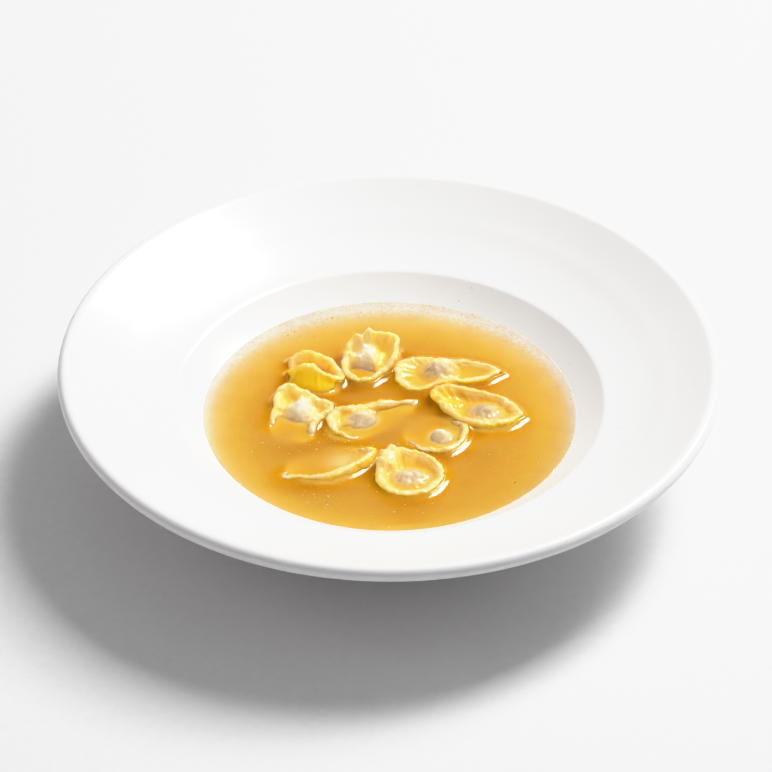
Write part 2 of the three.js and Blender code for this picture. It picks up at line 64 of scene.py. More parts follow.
# Each tortellino is a leaf of dough folded into a dish round its pouch of filling, as in the CAD:
#   at, yaw      centre and turn on the plate        half      half length and half width
#   rim, top     twelve stations round the sealed edge: its reach, as a share of half, and its height
#   tips         corners of the edge: [angle, reach, half width]
#   floor, rise  height of the leaf inside the edge, and how steeply it climbs to the edge
#   pouch        the filling's centre, and the bump that it raises: radii and height
#   belly        radii of the pouch below            drop      how far it hangs below the leaf
#   swell        where the wall stands out under its edge: [angle, half width, share, depth]
#   pleats       pinched folds along the edge: [from, to, count, depth]
#   knots        pinched lumps of dough: [angle, share out, radius, height]
#   creases      stretched folds that run out from the pouch: [angle, half width, depth]
#   dents        hollows beside the filling: centre, radii and depth
#   ridges       pinched ridges of dough: [from, to, radius, height]
#   lobes        lumps of the filling: place, radius and height
#   tilt         slope of the leaf across the plate and along it       dry   no broth lies in it
#   painted_glow painted light: how much its raised parts and filling are brightened, as if light came through the dough
TORTELLINI = [
    dict(
        name="tortellino_1", at=(-8.8, 30.2), yaw=0, half=(11, 11), drop=11.4,
        rim=[1.0, 1.1, 1.02, 0.9, 0.88, 0.9, 0.92, 1.03, 1.06, 0.99, 0.77, 0.83],
        top=[32.2, 34.6, 36.0, 36.6, 35.2, 31.6, 29.2, 28.4, 28.0, 28.1, 28.8, 29.8],
        tips=[[137, 0.14, 15], [39, 0.22, 12]], floor=23.6, rise=3,
        pouch=[-0.4, 2.0, 6.2, 6.0, 6.2], belly=[8.5, 8.5],
        swell=[[262, 70, 0.22, 3.4]], pleats=[[60, 150, 3, 1.1]],
        knots=[], creases=[[75, 7, 0.2], [100, 6, 0.2], [128, 7, 0.3]], dents=[[-3.2, -4.4, 5.2, 3.8, 4.6]],
        ridges=[[(-8.6, 3.0), (-4.4, 1.2), 1.1, 2.0], [(-5.6, 8.6), (-2.0, 5.4), 1.0, 0.8], [(1.0, 10.6), (2.4, 5.6), 1.2, 0.8], [(7.6, 9.8), (5.4, 4.4), 1.2, 0.6]],
        lobes=[[1.2, 0.2, 2.2, 1.3], [-0.8, 3.8, 2.6, 1.2], [3.0, 3.4, 2.2, 0.9]], tilt=[0.06, 0.06], dry=False, painted_glow=0.95, meat=(-2.0, 1.6, 5.2, 6.2), painted_light=0.7,
    ),
    dict(
        name="tortellino_2", at=(-30.8, 25.0), yaw=-12, half=(11.6, 7.5), drop=10.8,
        rim=[0.97, 0.78, 0.72, 0.8, 0.97, 1.1, 0.92, 0.98, 0.82, 0.66, 0.84, 1.02],
        top=[27.2, 28.8, 30.9, 32.0, 32.2, 29.0, 26.6, 28.6, 33.8, 34.0, 31.4, 28.4],
        tips=[], floor=24.2, rise=2.4,
        pouch=[0, 0, 5, 3, 0.6], belly=[8.5, 7],
        swell=[[276, 52, 1.5, 9]], pleats=[],
        knots=[], creases=[], dents=[],
        ridges=[],
        lobes=[], tilt=[0, 0], dry=False, painted_glow=0.2, painted_light=1.0, painted_light_in=1.0,
    ),
    dict(
        name="tortellino_3", at=(-36.5, -1.0), yaw=-62, half=(15.7, 13.6), drop=11.0,
        rim=[0.72, 0.65, 0.8, 0.56, 0.52, 0.58, 0.88, 0.8, 0.74, 0.97, 1.29, 1.11],
        top=[26.6, 27.5, 28.6, 30.4, 30.8, 31.2, 30.9, 29.5, 28.6, 26.2, 22.7, 24.6],
        tips=[[343, 0.15, 16], [73, 0.15, 14]], floor=23.8, rise=3,
        pouch=[0.6, -0.6, 6.4, 6.0, 5.6], belly=[8.5, 7.5],
        swell=[[318, 45, 0.16, 3.2]], pleats=[[20, 75, 2, 0.7]],
        knots=[[28, 0.92, 2.6, 0.9], [8, 0.91, 3.0, 1.3], [350, 0.92, 2.8, 1.1]], creases=[], dents=[],
        ridges=[[(4.0, 9.0), (2.4, 5.0), 1.1, 0.8], [(-7.0, 3.0), (-3.0, 1.0), 1.4, 0.6]],
        lobes=[[-0.8, 1.8, 2.6, 2.1], [1.9, -1.7, 2.3, 0.9], [-2.4, -2.4, 2.1, 0.8]], tilt=[0.0, 0.14], dry=False, painted_glow=0.85, broad=[[20, 30, 1.5]], painted_light=0.5,
    ),
    dict(
        name="tortellino_4", at=(-9.0, -5.5), yaw=14, half=(19.3, 9.1), drop=12.9,
        rim=[0.86, 1.15, 0.92, 0.81, 0.98, 0.91, 0.84, 0.94, 1.06, 0.94, 0.78, 0.72],
        top=[22.5, 25.7, 28.0, 27.4, 27.8, 27.9, 27.7, 27.6, 26.5, 23.3, 22.7, 22.7],
        tips=[[33, 0.2, 8], [251, 0.17, 16]], floor=23.4, rise=3.4,
        pouch=[-2.2, 0, 6.6, 5.2, 4.6], belly=[10, 7.5],
        swell=[[235, 50, 0.3, 3.2]], pleats=[[200, 250, 2, 0.2]],
        knots=[], creases=[[150, 8, 0.4], [200, 8, 0.5]], dents=[],
        ridges=[[(-2.0, 6.6), (9.0, 6.0), 1.3, 0.8], [(-14.0, -1.0), (-9.0, -1.5), 1.4, 0.6]],
        lobes=[[-4.0, 0.7, 2.3, 1.0], [-0.4, -0.3, 2.1, 1.1]], tilt=[-0.05, 0.10], dry=False, painted_glow=0.4, broad=[[205, 34, 2.2]], dull=0.25, painted_light=0.5,
    ),
    dict(
        name="tortellino_5", at=(21.0, 24.9), yaw=-9, half=(21.8, 10.8), drop=13.3,
        rim=[0.94, 1.07, 0.94, 0.73, 0.81, 0.84, 0.85, 0.92, 1.13, 0.66, 0.53, 0.68],
        top=[27.6, 28.0, 27.4, 27.4, 27.6, 27.9, 28.0, 27.9, 27.0, 27.0, 27.4, 27.1],
        tips=[[252, 0.24, 10], [17, 0.11, 8]], floor=25.3, rise=3.6,
        pouch=[-1.0, 1.2, 6.4, 5.6, 3.8], belly=[10, 7.5],
        swell=[[285, 75, 0.3, 3.2]], pleats=[[160, 200, 2, 0.2]],
        knots=[], creases=[], dents=[],
        ridges=[],
        lobes=[[-2.8, 1.9, 2.3, 0.9], [0.9, 1.9, 2.3, 1.3], [2.8, -0.2, 1.9, 0.8], [-0.8, -1.2, 1.9, 0.5]], tilt=[0, 0], dry=True, painted_glow=0.1, dull=0.5, painted_light=0.5,
    ),
    dict(
        name="tortellino_6", at=(35.3, 0.5), yaw=-24, half=(19.2, 9.7), drop=11.9,
        rim=[0.92, 0.99, 0.99, 0.92, 0.9, 0.99, 1.02, 0.87, 0.91, 1.05, 0.97, 0.88],
        top=[28.3, 28.4, 28.6, 29.0, 29.3, 30.2, 29.7, 29.3, 28.8, 28.0, 28.0, 28.1],
        tips=[[19, 0.04, 10], [153, 0.04, 8]], floor=25.3, rise=3.6,
        pouch=[4.6, -1.2, 6.8, 5.4, 3.6], belly=[9.5, 7.5],
        swell=[[294, 70, 0.3, 3.2]], pleats=[[140, 222, 4, 0.9]],
        knots=[], creases=[[168, 6, 0.15]], dents=[],
        ridges=[[(-15.5, 5.5), (-8.0, 1.0), 0.9, 0.9], [(-16.5, 3.0), (-8.5, -0.6), 0.9, 0.9], [(-16.5, 0.4), (-8.0, -1.8), 0.9, 0.8], [(-15.0, -2.6), (-7.0, -2.8), 0.9, 0.7]],
        lobes=[[2.6, -0.4, 2.1, 0.8], [6.4, -1.6, 2.4, 1.1], [4.6, 1.0, 1.9, 0.7]], tilt=[0, 0], dry=True, painted_glow=0.1, dull=0.35, painted_light=0.75,
    ),
    dict(
        name="tortellino_7", at=(18.7, -15.3), yaw=20, half=(12.3, 12.6), drop=10.7,
        rim=[1.03, 0.86, 0.82, 0.98, 1.04, 1.02, 0.92, 0.89, 0.92, 0.99, 0.97, 0.97],
        top=[27.8, 26.0, 24.3, 23.2, 22.8, 23.1, 24.5, 25.8, 26.7, 27.2, 27.5, 27.7],
        tips=[[8, 0.06, 8]], floor=22.0, rise=3.2,
        pouch=[1.2, -1.8, 5.2, 4.8, 5.7], belly=[8.5, 8.5],
        swell=[[290, 70, 0.16, 3.2]], pleats=[],
        knots=[], creases=[], dents=[],
        ridges=[],
        lobes=[[0.4, -1.0, 1.9, 0.8], [2.3, -2.8, 1.9, 0.8]], tilt=[0, 0], dry=False, painted_glow=0.8, painted_light=0.6,
    ),
    dict(
        name="tortellino_8", at=(-24.9, -34.4), yaw=22, half=(19.9, 9.4), drop=9.2,
        rim=[0.96, 0.87, 0.9, 0.99, 0.92, 0.89, 0.84, 0.85, 0.92, 0.97, 0.91, 0.94],
        top=[27.8, 24.9, 22.8, 22.0, 22.6, 23.9, 25.6, 26.8, 27.2, 28.0, 28.6, 28.8],
        tips=[[188, 0.16, 17]], floor=21.8, rise=3.4,
        pouch=[5.0, 0.2, 7.0, 5.0, 2.4], belly=[10, 7.5],
        swell=[[275, 70, 0.34, 3.2]], pleats=[[330, 372, 2, 0.6]],
        knots=[], creases=[], dents=[],
        ridges=[],
        lobes=[], tilt=[0, 0], dry=False, painted_glow=0.2, broad=[[300, 60, 1.6], [350, 30, 1.5]], painted_light=0.6,
    ),
    dict(
        name="tortellino_9", at=(7.6, -43.2), yaw=0, half=(12.8, 12.6), drop=10.6,
        rim=[1.01, 1.0, 0.98, 1.0, 1.12, 1.02, 0.94, 1.02, 1.02, 0.98, 0.96, 0.97],
        top=[28.3, 28.8, 29.3, 29.6, 31.5, 31.5, 29.4, 28.3, 27.7, 27.4, 27.5, 27.8],
        tips=[], floor=25.2, rise=3.2,
        pouch=[0.6, -1.2, 6.6, 5.0, 2.8], belly=[9, 9],
        swell=[[280, 80, 0.18, 3.2]], pleats=[[95, 165, 3, 0.9]],
        knots=[[152, 0.86, 2.8, 1.5], [128, 0.86, 2.8, 1.7], [141, 0.70, 2.6, 1.3]], creases=[[110, 6, 0.5], [140, 6, 0.5]], dents=[],
        ridges=[[(-7.8, 8.6), (-5.6, 3.4), 1.3, 1.2], [(-4.6, 9.8), (-3.2, 5.0), 1.1, 0.9]],
        lobes=[[-1.8, -0.9, 2.5, 1.3], [3.5, -0.5, 2.5, 1.2], [0.4, -3.6, 1.5, -0.8]], tilt=[0, 0], dry=True, painted_glow=0.3, broad=[[140, 22, 3.4]], dull=0.4, painted_light=0.75,
    ),
]


# ------------------------------------------------------------------ small tools
def well_z(r):
    return WELL_FLOOR_Z + (WELL_MOUTH_Z - WELL_FLOOR_Z) * (np.asarray(r, float) / WELL_MOUTH_R) ** WELL_POWER


def smooth(v):
    v = np.clip(v, 0, 1)
    return v * v * (3 - 2 * v)


def hashed(ix, iy, iz, seed):
    h = (ix * 374761393 + iy * 668265263 + iz * 1274126177 + seed * 974634777) & 0xFFFFFFFF
    h = ((h ^ (h >> 13)) * 1103515245) & 0xFFFFFFFF
    h = ((h ^ (h >> 16)) * 2246822519) & 0xFFFFFFFF
    h = h ^ (h >> 15)
    return (h & 0xFFFFFF) / float(0x7FFFFF) - 1.0


def noise(points, scale, seed):
    """Smooth noise from -1 to 1 at points, with lumps of about that many millimetres."""
    p = np.asarray(points, float) / scale
    i = np.floor(p).astype(np.int64)
    f = p - i
    f = f * f * f * (f * (f * 6 - 15) + 10)
    out = 0.0
    for dx in (0, 1):
        for dy in (0, 1):
            for dz in (0, 1):
                w = (
                    (f[..., 0] if dx else 1 - f[..., 0])
                    * (f[..., 1] if dy else 1 - f[..., 1])
                    * (f[..., 2] if dz else 1 - f[..., 2])
                )
                out = out + w * hashed(i[..., 0] + dx, i[..., 1] + dy, i[..., 2] + dz, seed)
    return out


def layers(points, scale, seed, octaves=3, keep=0.5):
    total, size, share = 0.0, scale, 1.0
    for k in range(octaves):
        total = total + share * noise(points, size, seed + 17 * k)
        size, share = size * 0.5, share * keep
    return total


def make(name, points, faces, replaced=None, attributes=None):
    mesh = bpy.data.meshes.new(name)
    mesh.from_pydata((np.asarray(points) * MM).tolist(), [], faces)
    mesh.polygons.foreach_set("use_smooth", [True] * len(mesh.polygons))
    for key, values in (attributes or {}).items():
        layer = mesh.attributes.new(key, "FLOAT", "POINT")
        layer.data.foreach_set("value", np.asarray(values, np.float32))
    mesh.update()
    obj = bpy.data.objects.new(name, mesh)
    bpy.context.scene.collection.objects.link(obj)
    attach(obj, "root")
    if replaced:
        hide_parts(replaced)
    return obj


def ring_faces(rows, count, first=0, closed_ends=True):
    """Quads between rings of equal count, numbered one after the other from first."""
    faces = []
    for i in range(rows - 1):
        a, b = first + i * count, first + (i + 1) * count
        for j in range(count):
            k = (j + 1) % count
            faces.append((a + j, b + j, b + k, a + k))
    return faces


# ------------------------------------------------------------------ materials
class Nodes:
    def __init__(self, name):
        self.material = bpy.data.materials.new(name)
        self.material.use_nodes = True
        self.tree = self.material.node_tree
        self.tree.nodes.clear()
        self.out = self.add("ShaderNodeOutputMaterial")

    def add(self, kind, **settings):
        node = self.tree.nodes.new(kind)
        for key, value in settings.items():
            setattr(node, key, value)
        return node

    def link(self, a, b):
        self.tree.links.new(a, b)

    def value(self, key):
        return self.add("ShaderNodeAttribute", attribute_name=key, attribute_type="GEOMETRY").outputs["Fac"]

    def place(self):
        return self.add("ShaderNodeTexCoord").outputs["Object"]

    def noise(self, scale, detail=3.0, rough=0.5):
        node = self.add("ShaderNodeTexNoise")
        node.inputs["Scale"].default_value = scale
        node.inputs["Detail"].default_value = detail
        node.inputs["Roughness"].default_value = rough
        self.link(self.place(), node.inputs["Vector"])
        return node.outputs["Fac"]

    def ramp(self, source, stops, interpolation="LINEAR"):
        node = self.add("ShaderNodeValToRGB")
        node.color_ramp.interpolation = interpolation
        ramp = node.color_ramp.elements
        while len(ramp) > 1:
            ramp.remove(ramp[-1])
        ramp[0].position = stops[0][0]
        ramp[0].color = (*stops[0][1], 1)
        for at, colour in stops[1:]:
            ramp.new(at).color = (*colour, 1)
        self.link(source, node.inputs["Fac"])
        return node.outputs["Color"]

    def math(self, operation, a, b=None, clamp=False):
        node = self.add("ShaderNodeMath", operation=operation, use_clamp=clamp)
        for socket, value in zip(node.inputs, (a, b)):
            if value is None:
                continue
            if isinstance(value, (int, float)):
                socket.default_value = value
            else:
                self.link(value, socket)
        return node.outputs[0]

    def mix(self, share, a, b, blend="MIX"):
        node = self.add("ShaderNodeMix", data_type="RGBA", blend_type=blend)
        for socket, value in ((node.inputs[0], share), (node.inputs[6], a), (node.inputs[7], b)):
            if isinstance(value, (int, float)):
                socket.default_value = value
            elif isinstance(value, tuple):
                socket.default_value = (*value, 1)
            else:
                self.link(value, socket)
        return node.outputs[2]

    def bump(self, height, strength, distance, normal=None):
        node = self.add("ShaderNodeBump")
        node.inputs["Strength"].default_value = strength
        node.inputs["Distance"].default_value = distance
        self.link(height, node.inputs["Height"])
        if normal is not None:
            self.link(normal, node.inputs["Normal"])
        return node.outputs["Normal"]

    def surface(self, **sockets):
        node = self.add("ShaderNodeBsdfPrincipled")
        for key, value in sockets.items():
            socket = node.inputs[key.replace("_", " ")]
            if isinstance(value, bpy.types.NodeSocket):
                self.link(value, socket)
            elif isinstance(value, tuple) and len(value) == 3 and socket.type == "RGBA":
                socket.default_value = (*value, 1)
            else:
                socket.default_value = value
        self.link(node.outputs[0], self.out.inputs["Surface"])
        return node


def china_material():
    n = Nodes("china_glaze")
    tone = n.ramp(n.noise(18, 2), [(0.3, (0.925, 0.924, 0.922)), (0.7, (0.945, 0.944, 0.942))])
    rough = n.math("MULTIPLY_ADD", n.noise(60, 2), 0.05)
    rough.node.inputs[2].default_value = 0.26
    wave = n.bump(n.noise(22, 1), 0.25, 0.0006)
    n.surface(Base_Color=tone, Roughness=rough, IOR=1.5, Normal=wave)
    return n.material


def dough_material():
    n = Nodes("wet_egg_dough")
    edge, fill, painted_hollow_shade, painted_glow = n.value("edge"), n.value("fill"), n.value("painted_hollow_shade"), n.value("painted_glow")
    mottle = n.noise(420, 3)
    leaf = n.ramp(mottle, [(0.3, (0.88, 0.505, 0.085)), (0.7, (0.91, 0.565, 0.125))])
    low = n.ramp(mottle, [(0.3, (0.92, 0.51, 0.012)), (0.7, (0.94, 0.56, 0.022))])
    cream = n.ramp(n.noise(700, 3), [(0.3, (0.97, 0.70, 0.33)), (0.7, (0.98, 0.80, 0.54))])
    cream = n.mix(n.value("pale"), cream, (0.99, 0.90, 0.72))
    meat = n.ramp(n.noise(560, 3, 0.65), [(0.32, (0.50, 0.355, 0.22)), (0.5, (0.62, 0.485, 0.345)), (0.68, (0.71, 0.62, 0.495))])
    # Painted shade: a deeper, more saturated yellow low in the hollows, in the groove round the pouch and on the walls
    # under the edge.
    colour = n.mix(painted_hollow_shade, leaf, low)
    # Some leaves are darker and duller inside.
    colour = n.mix(n.value("dull"), colour, (0.70, 0.41, 0.10))
    # Painted light: the leaves that stand up, their walls and the filling under them are brightened towards a light
    # yellow, as if light came through the dough.
    colour = n.mix(painted_glow, colour, (1.0, 0.72, 0.17))
    colour = n.mix(n.value("painted_light"), colour, (1.0, 0.70, 0.03))
    meat = n.mix(painted_glow, meat, (1.0, 0.93, 0.80))
    colour = n.mix(n.math("MULTIPLY", fill, 0.9), colour, meat)
    colour = n.mix(edge, colour, cream)
    fine = n.bump(n.noise(900, 3), 0.3, 0.0002)
    rough = n.math("MULTIPLY_ADD", mottle, 0.15)
    rough.node.inputs[2].default_value = 0.28
    dough = n.surface(
        Base_Color=colour, Roughness=rough, IOR=1.38, Specular_IOR_Level=0.15, Normal=fine,
        Subsurface_Weight=1.0, Subsurface_Radius=(1.0, 0.92, 0.20), Subsurface_Scale=0.005,
        Coat_Weight=0.6, Coat_Roughness=0.11, Coat_IOR=1.40,
    )
    dough.subsurface_method = "BURLEY"
    return n.material


def broth_material():
    n = Nodes("amber_broth")
    # Along the far side the edge is mottled with fine froth.
    patchy = n.math("MULTIPLY", n.math("SUBTRACT", n.noise(520, 3, 0.7), 0.5), n.value("froth"))
    depth = n.math("MULTIPLY_ADD", patchy, 0.30)
    n.link(n.value("depth"), depth.node.inputs[2])
    cloud = n.noise(55, 3)
    amber = n.ramp(
        depth,
        [
            (0.0, (0.86, 0.79, 0.70)),
            (0.05, (0.85, 0.71, 0.52)),
            (0.12, (0.84, 0.60, 0.31)),
            (0.20, (0.83, 0.535, 0.180)),
            (0.30, (0.79, 0.475, 0.105)),
            (0.42, (0.74, 0.437, 0.062)),
            (0.58, (0.675, 0.375, 0.052)),
            (1.0, (0.61, 0.318, 0.050)),
        ],
    )
    amber = n.mix(n.math("MULTIPLY", cloud, 0.06), amber, (0.93, 0.62, 0.20))
    haze = n.ramp(n.noise(95, 4, 0.6), [(0.42, (0.0, 0.0, 0.0)), (0.68, (0.16, 0.16, 0.16))])
    amber = n.mix(haze, amber, (0.55, 0.27, 0.03))
    grain = n.ramp(n.noise(1300, 2, 0.6), [(0.58, (0.0, 0.0, 0.0)), (0.74, (0.16, 0.16, 0.16))])
    amber = n.mix(grain, amber, (0.90, 0.66, 0.30))
    # Painted shade: close to a piece, and more where pieces stand together or at the listed spots, the broth is
    # darkened to a dark amber where the pieces shade it. Over a sunk leaf of dough it is yellow.
    amber = n.mix(n.math("MULTIPLY", n.value("near"), 0.95), amber, (0.70, 0.335, 0.001))
    amber = n.mix(n.math("MULTIPLY", n.value("painted_shade_between"), 0.9), amber, (0.52, 0.215, 0.0))
    amber = n.mix(n.value("shoal"), amber, (0.88, 0.54, 0.09))
    amber = n.mix(n.math("MULTIPLY", n.value("paste"), 0.8), amber, (0.90, 0.71, 0.40))
    # Painted shade: the broth is darkened on one side, where the well's wall below is in its own shade.
    amber = n.mix(n.math("MULTIPLY", n.value("painted_wall_shade"), 0.17), amber, (0.0, 0.0, 0.0))
    n.surface(
        Base_Color=amber, Roughness=0.11, IOR=1.45,
        Subsurface_Weight=n.math("MULTIPLY", n.value("body"), 0.6), Subsurface_Radius=(1.0, 0.5, 0.12), Subsurface_Scale=0.006,
    )
    return n.material


def plain_material(name, colour, rough, **more):
    n = Nodes(name)
    tone = n.ramp(n.noise(1500, 2), [(0.3, tuple(0.9 * c for c in colour)), (0.7, colour)])
    n.surface(Base_Color=tone, Roughness=rough, **more)
    return n.material


# ------------------------------------------------------------------ the plate
def plate_profile():
    lip_r = PLATE_DIAMETER / 2 - LIP_SECTION

    def lip(angle):
        a = math.radians(angle)
        return (lip_r + LIP_SECTION * math.cos(a), LIP_CENTRE_Z + LIP_SECTION * math.sin(a))

    top = [(0.0, WELL_FLOOR_Z)]
    for share in np.linspace(0, 1, 61)[1:]:
        share = share**0.8
        top.append((WELL_MOUTH_R * share, float(well_z(WELL_MOUTH_R * share))))
    end = lip(LIP_MEET_ANGLE)
    end_slope = 1 / math.tan(math.radians(180 - LIP_MEET_ANGLE))
    knee_r = (end[1] - end_slope * end[0] - FLANGE_START_Z + FLANGE_START_SLOPE * FLANGE_START_R) / (
        FLANGE_START_SLOPE - end_slope
    )
    knee_z = FLANGE_START_Z + FLANGE_START_SLOPE * (knee_r - FLANGE_START_R)

    def flange(u):
        a, b, c = (1 - u) ** 2, 2 * u * (1 - u), u * u
        return (
            a * FLANGE_START_R + b * knee_r + c * end[0],
            a * FLANGE_START_Z + b * knee_z + c * end[1],
        )

    # The shoulder between the well and the flange is a small round.
    m, s = top[-1], flange(0)
    slope = (WELL_MOUTH_Z - WELL_FLOOR_Z) * WELL_POWER / WELL_MOUTH_R
    cross_r = (s[1] - FLANGE_START_SLOPE * s[0] - m[1] + slope * m[0]) / (slope - FLANGE_START_SLOPE)
    cross = (cross_r, m[1] + slope * (cross_r - m[0]))
    for u in np.linspace(0, 1, 9)[1:-1]:
        top.append(tuple((1 - u) ** 2 * m[k] + 2 * u * (1 - u) * cross[k] + u * u * s[k] for k in (0, 1)))
    for u in np.linspace(0, 1, 41):
        r, z = flange(u)
        # Faint rings left by the jigger on the flange.
        z += 0.10 * math.exp(-(((r - 112.5) / 2.6) ** 2)) - 0.06 * math.exp(-(((r - 105) / 3.5) ** 2))
        top.append((r, z))
    for angle in np.arange(LIP_MEET_ANGLE - 10, -101, -10):
        top.append(lip(angle))
    under = []
    for u in np.linspace(1, 0, 25)[1:-1]:
        r, z = flange(u)
        wall = LIP_WALL + (WALL - LIP_WALL) * (1 - u)
        under.append((r + wall * 0.35, z - wall))
    for share in np.linspace(1, 0.84, 9):
        under.append((WELL_MOUTH_R * share + WALL * 0.75, float(well_z(WELL_MOUTH_R * share)) - WALL * 0.75))
    foot = [
        (UNDER_STEP_R, UNDER_STEP_Z), (68.6, 4.0), (67.6, 2.2), (67.0, 0.9), (FOOT_OUTER_R + 0.5, 0.25), (FOOT_OUTER_R - 0.3, 0.0),
        (FOOT_INNER_R + 0.3, 0.0), (FOOT_INNER_R - 0.5, 0.25), (59.0, 1.1), (58.2, 2.2), (57.4, 2.7), (56.0, FLOOR_UNDERSIDE_Z),
        (40.0, FLOOR_UNDERSIDE_Z), (20.0, FLOOR_UNDERSIDE_Z), (0.0, FLOOR_UNDERSIDE_Z),
    ]
    return top, under + foot


def make_plate():
    count = 288
    top, rest = plate_profile()
    profile = top + rest
    angles = np.arange(count) * TAU / count
    points = [(0.0, 0.0, profile[0][1])]
    for r, z in profile[1:-1]:
        points.extend(zip(r * np.cos(angles), r * np.sin(angles), np.full(count, z)))
    points.append((0.0, 0.0, profile[-1][1]))
    rows = len(profile) - 2
    faces = [(0, 1 + j, 1 + (j + 1) % count) for j in range(count)]
    faces += ring_faces(rows, count, 1)
    last, base = len(points) - 1, 1 + (rows - 1) * count
    faces += [(last, base + (j + 1) % count, base + j) for j in range(count)]
    points = np.array(points, float)
    # A hand's breadth of unevenness, as on any fired plate.
    r = np.hypot(points[:, 0], points[:, 1])
    a = np.arctan2(points[:, 1], points[:, 0])
    points[:, 2] += np.where(points[:, 2] > 20, 0.12 * smooth((r - 90) / 40) * np.cos(2 * a + 0.6), 0)
    plate = make("soup_plate", points, faces, "bowl")
    plate.data.materials.append(china_material())
    return plate


# ------------------------------------------------------------------ the tortellini
def station(values, phi):
    v = np.asarray(values, float)
    n = len(v)
    t = (phi / TAU * n) % n
    i = np.floor(t).astype(int)
    f = t - i
    a, b, c, d = (v[(i + k) % n] for k in (-1, 0, 1, 2))
    return 0.5 * (2 * b + (c - a) * f + (2 * a - 5 * b + 4 * c - d) * f * f + (3 * b - a - 3 * c + d) * f**3)


def turn_from(phi, at):
    return (phi - math.radians(at) + math.pi) % TAU - math.pi


def bell(phi, at, half):
    return np.exp(-((turn_from(phi, at) / math.radians(half)) ** 2))


def edge_of(t, phi):
    reach = station(t["rim"], phi)
    for at, by, half in t["tips"]:
        reach = reach + by * bell(phi, at, half)
    z = station(t["top"], phi)
    for start, end, count, depth in t["pleats"]:
        share = ((phi - math.radians(start)) % TAU) / math.radians(end - start)
        z = z + np.where(share < 1, depth * np.sin(math.pi * share) * np.cos(TAU * count * share), 0)
    return t["half"][0] * reach * np.cos(phi), t["half"][1] * reach * np.sin(phi), z


def edge_share(t, phi, thick):
    x, y, _ = edge_of(t, phi)
    x2, y2, _ = edge_of(t, phi + 0.02)
    r = np.hypot(x, y)
    across = np.abs(x * (y2 - y) - y * (x2 - x)) / (r * np.hypot(x2 - x, y2 - y))
    return thick / 2 / np.maximum(across, 0.5) / r


OUTER_STEEPER = 2.1


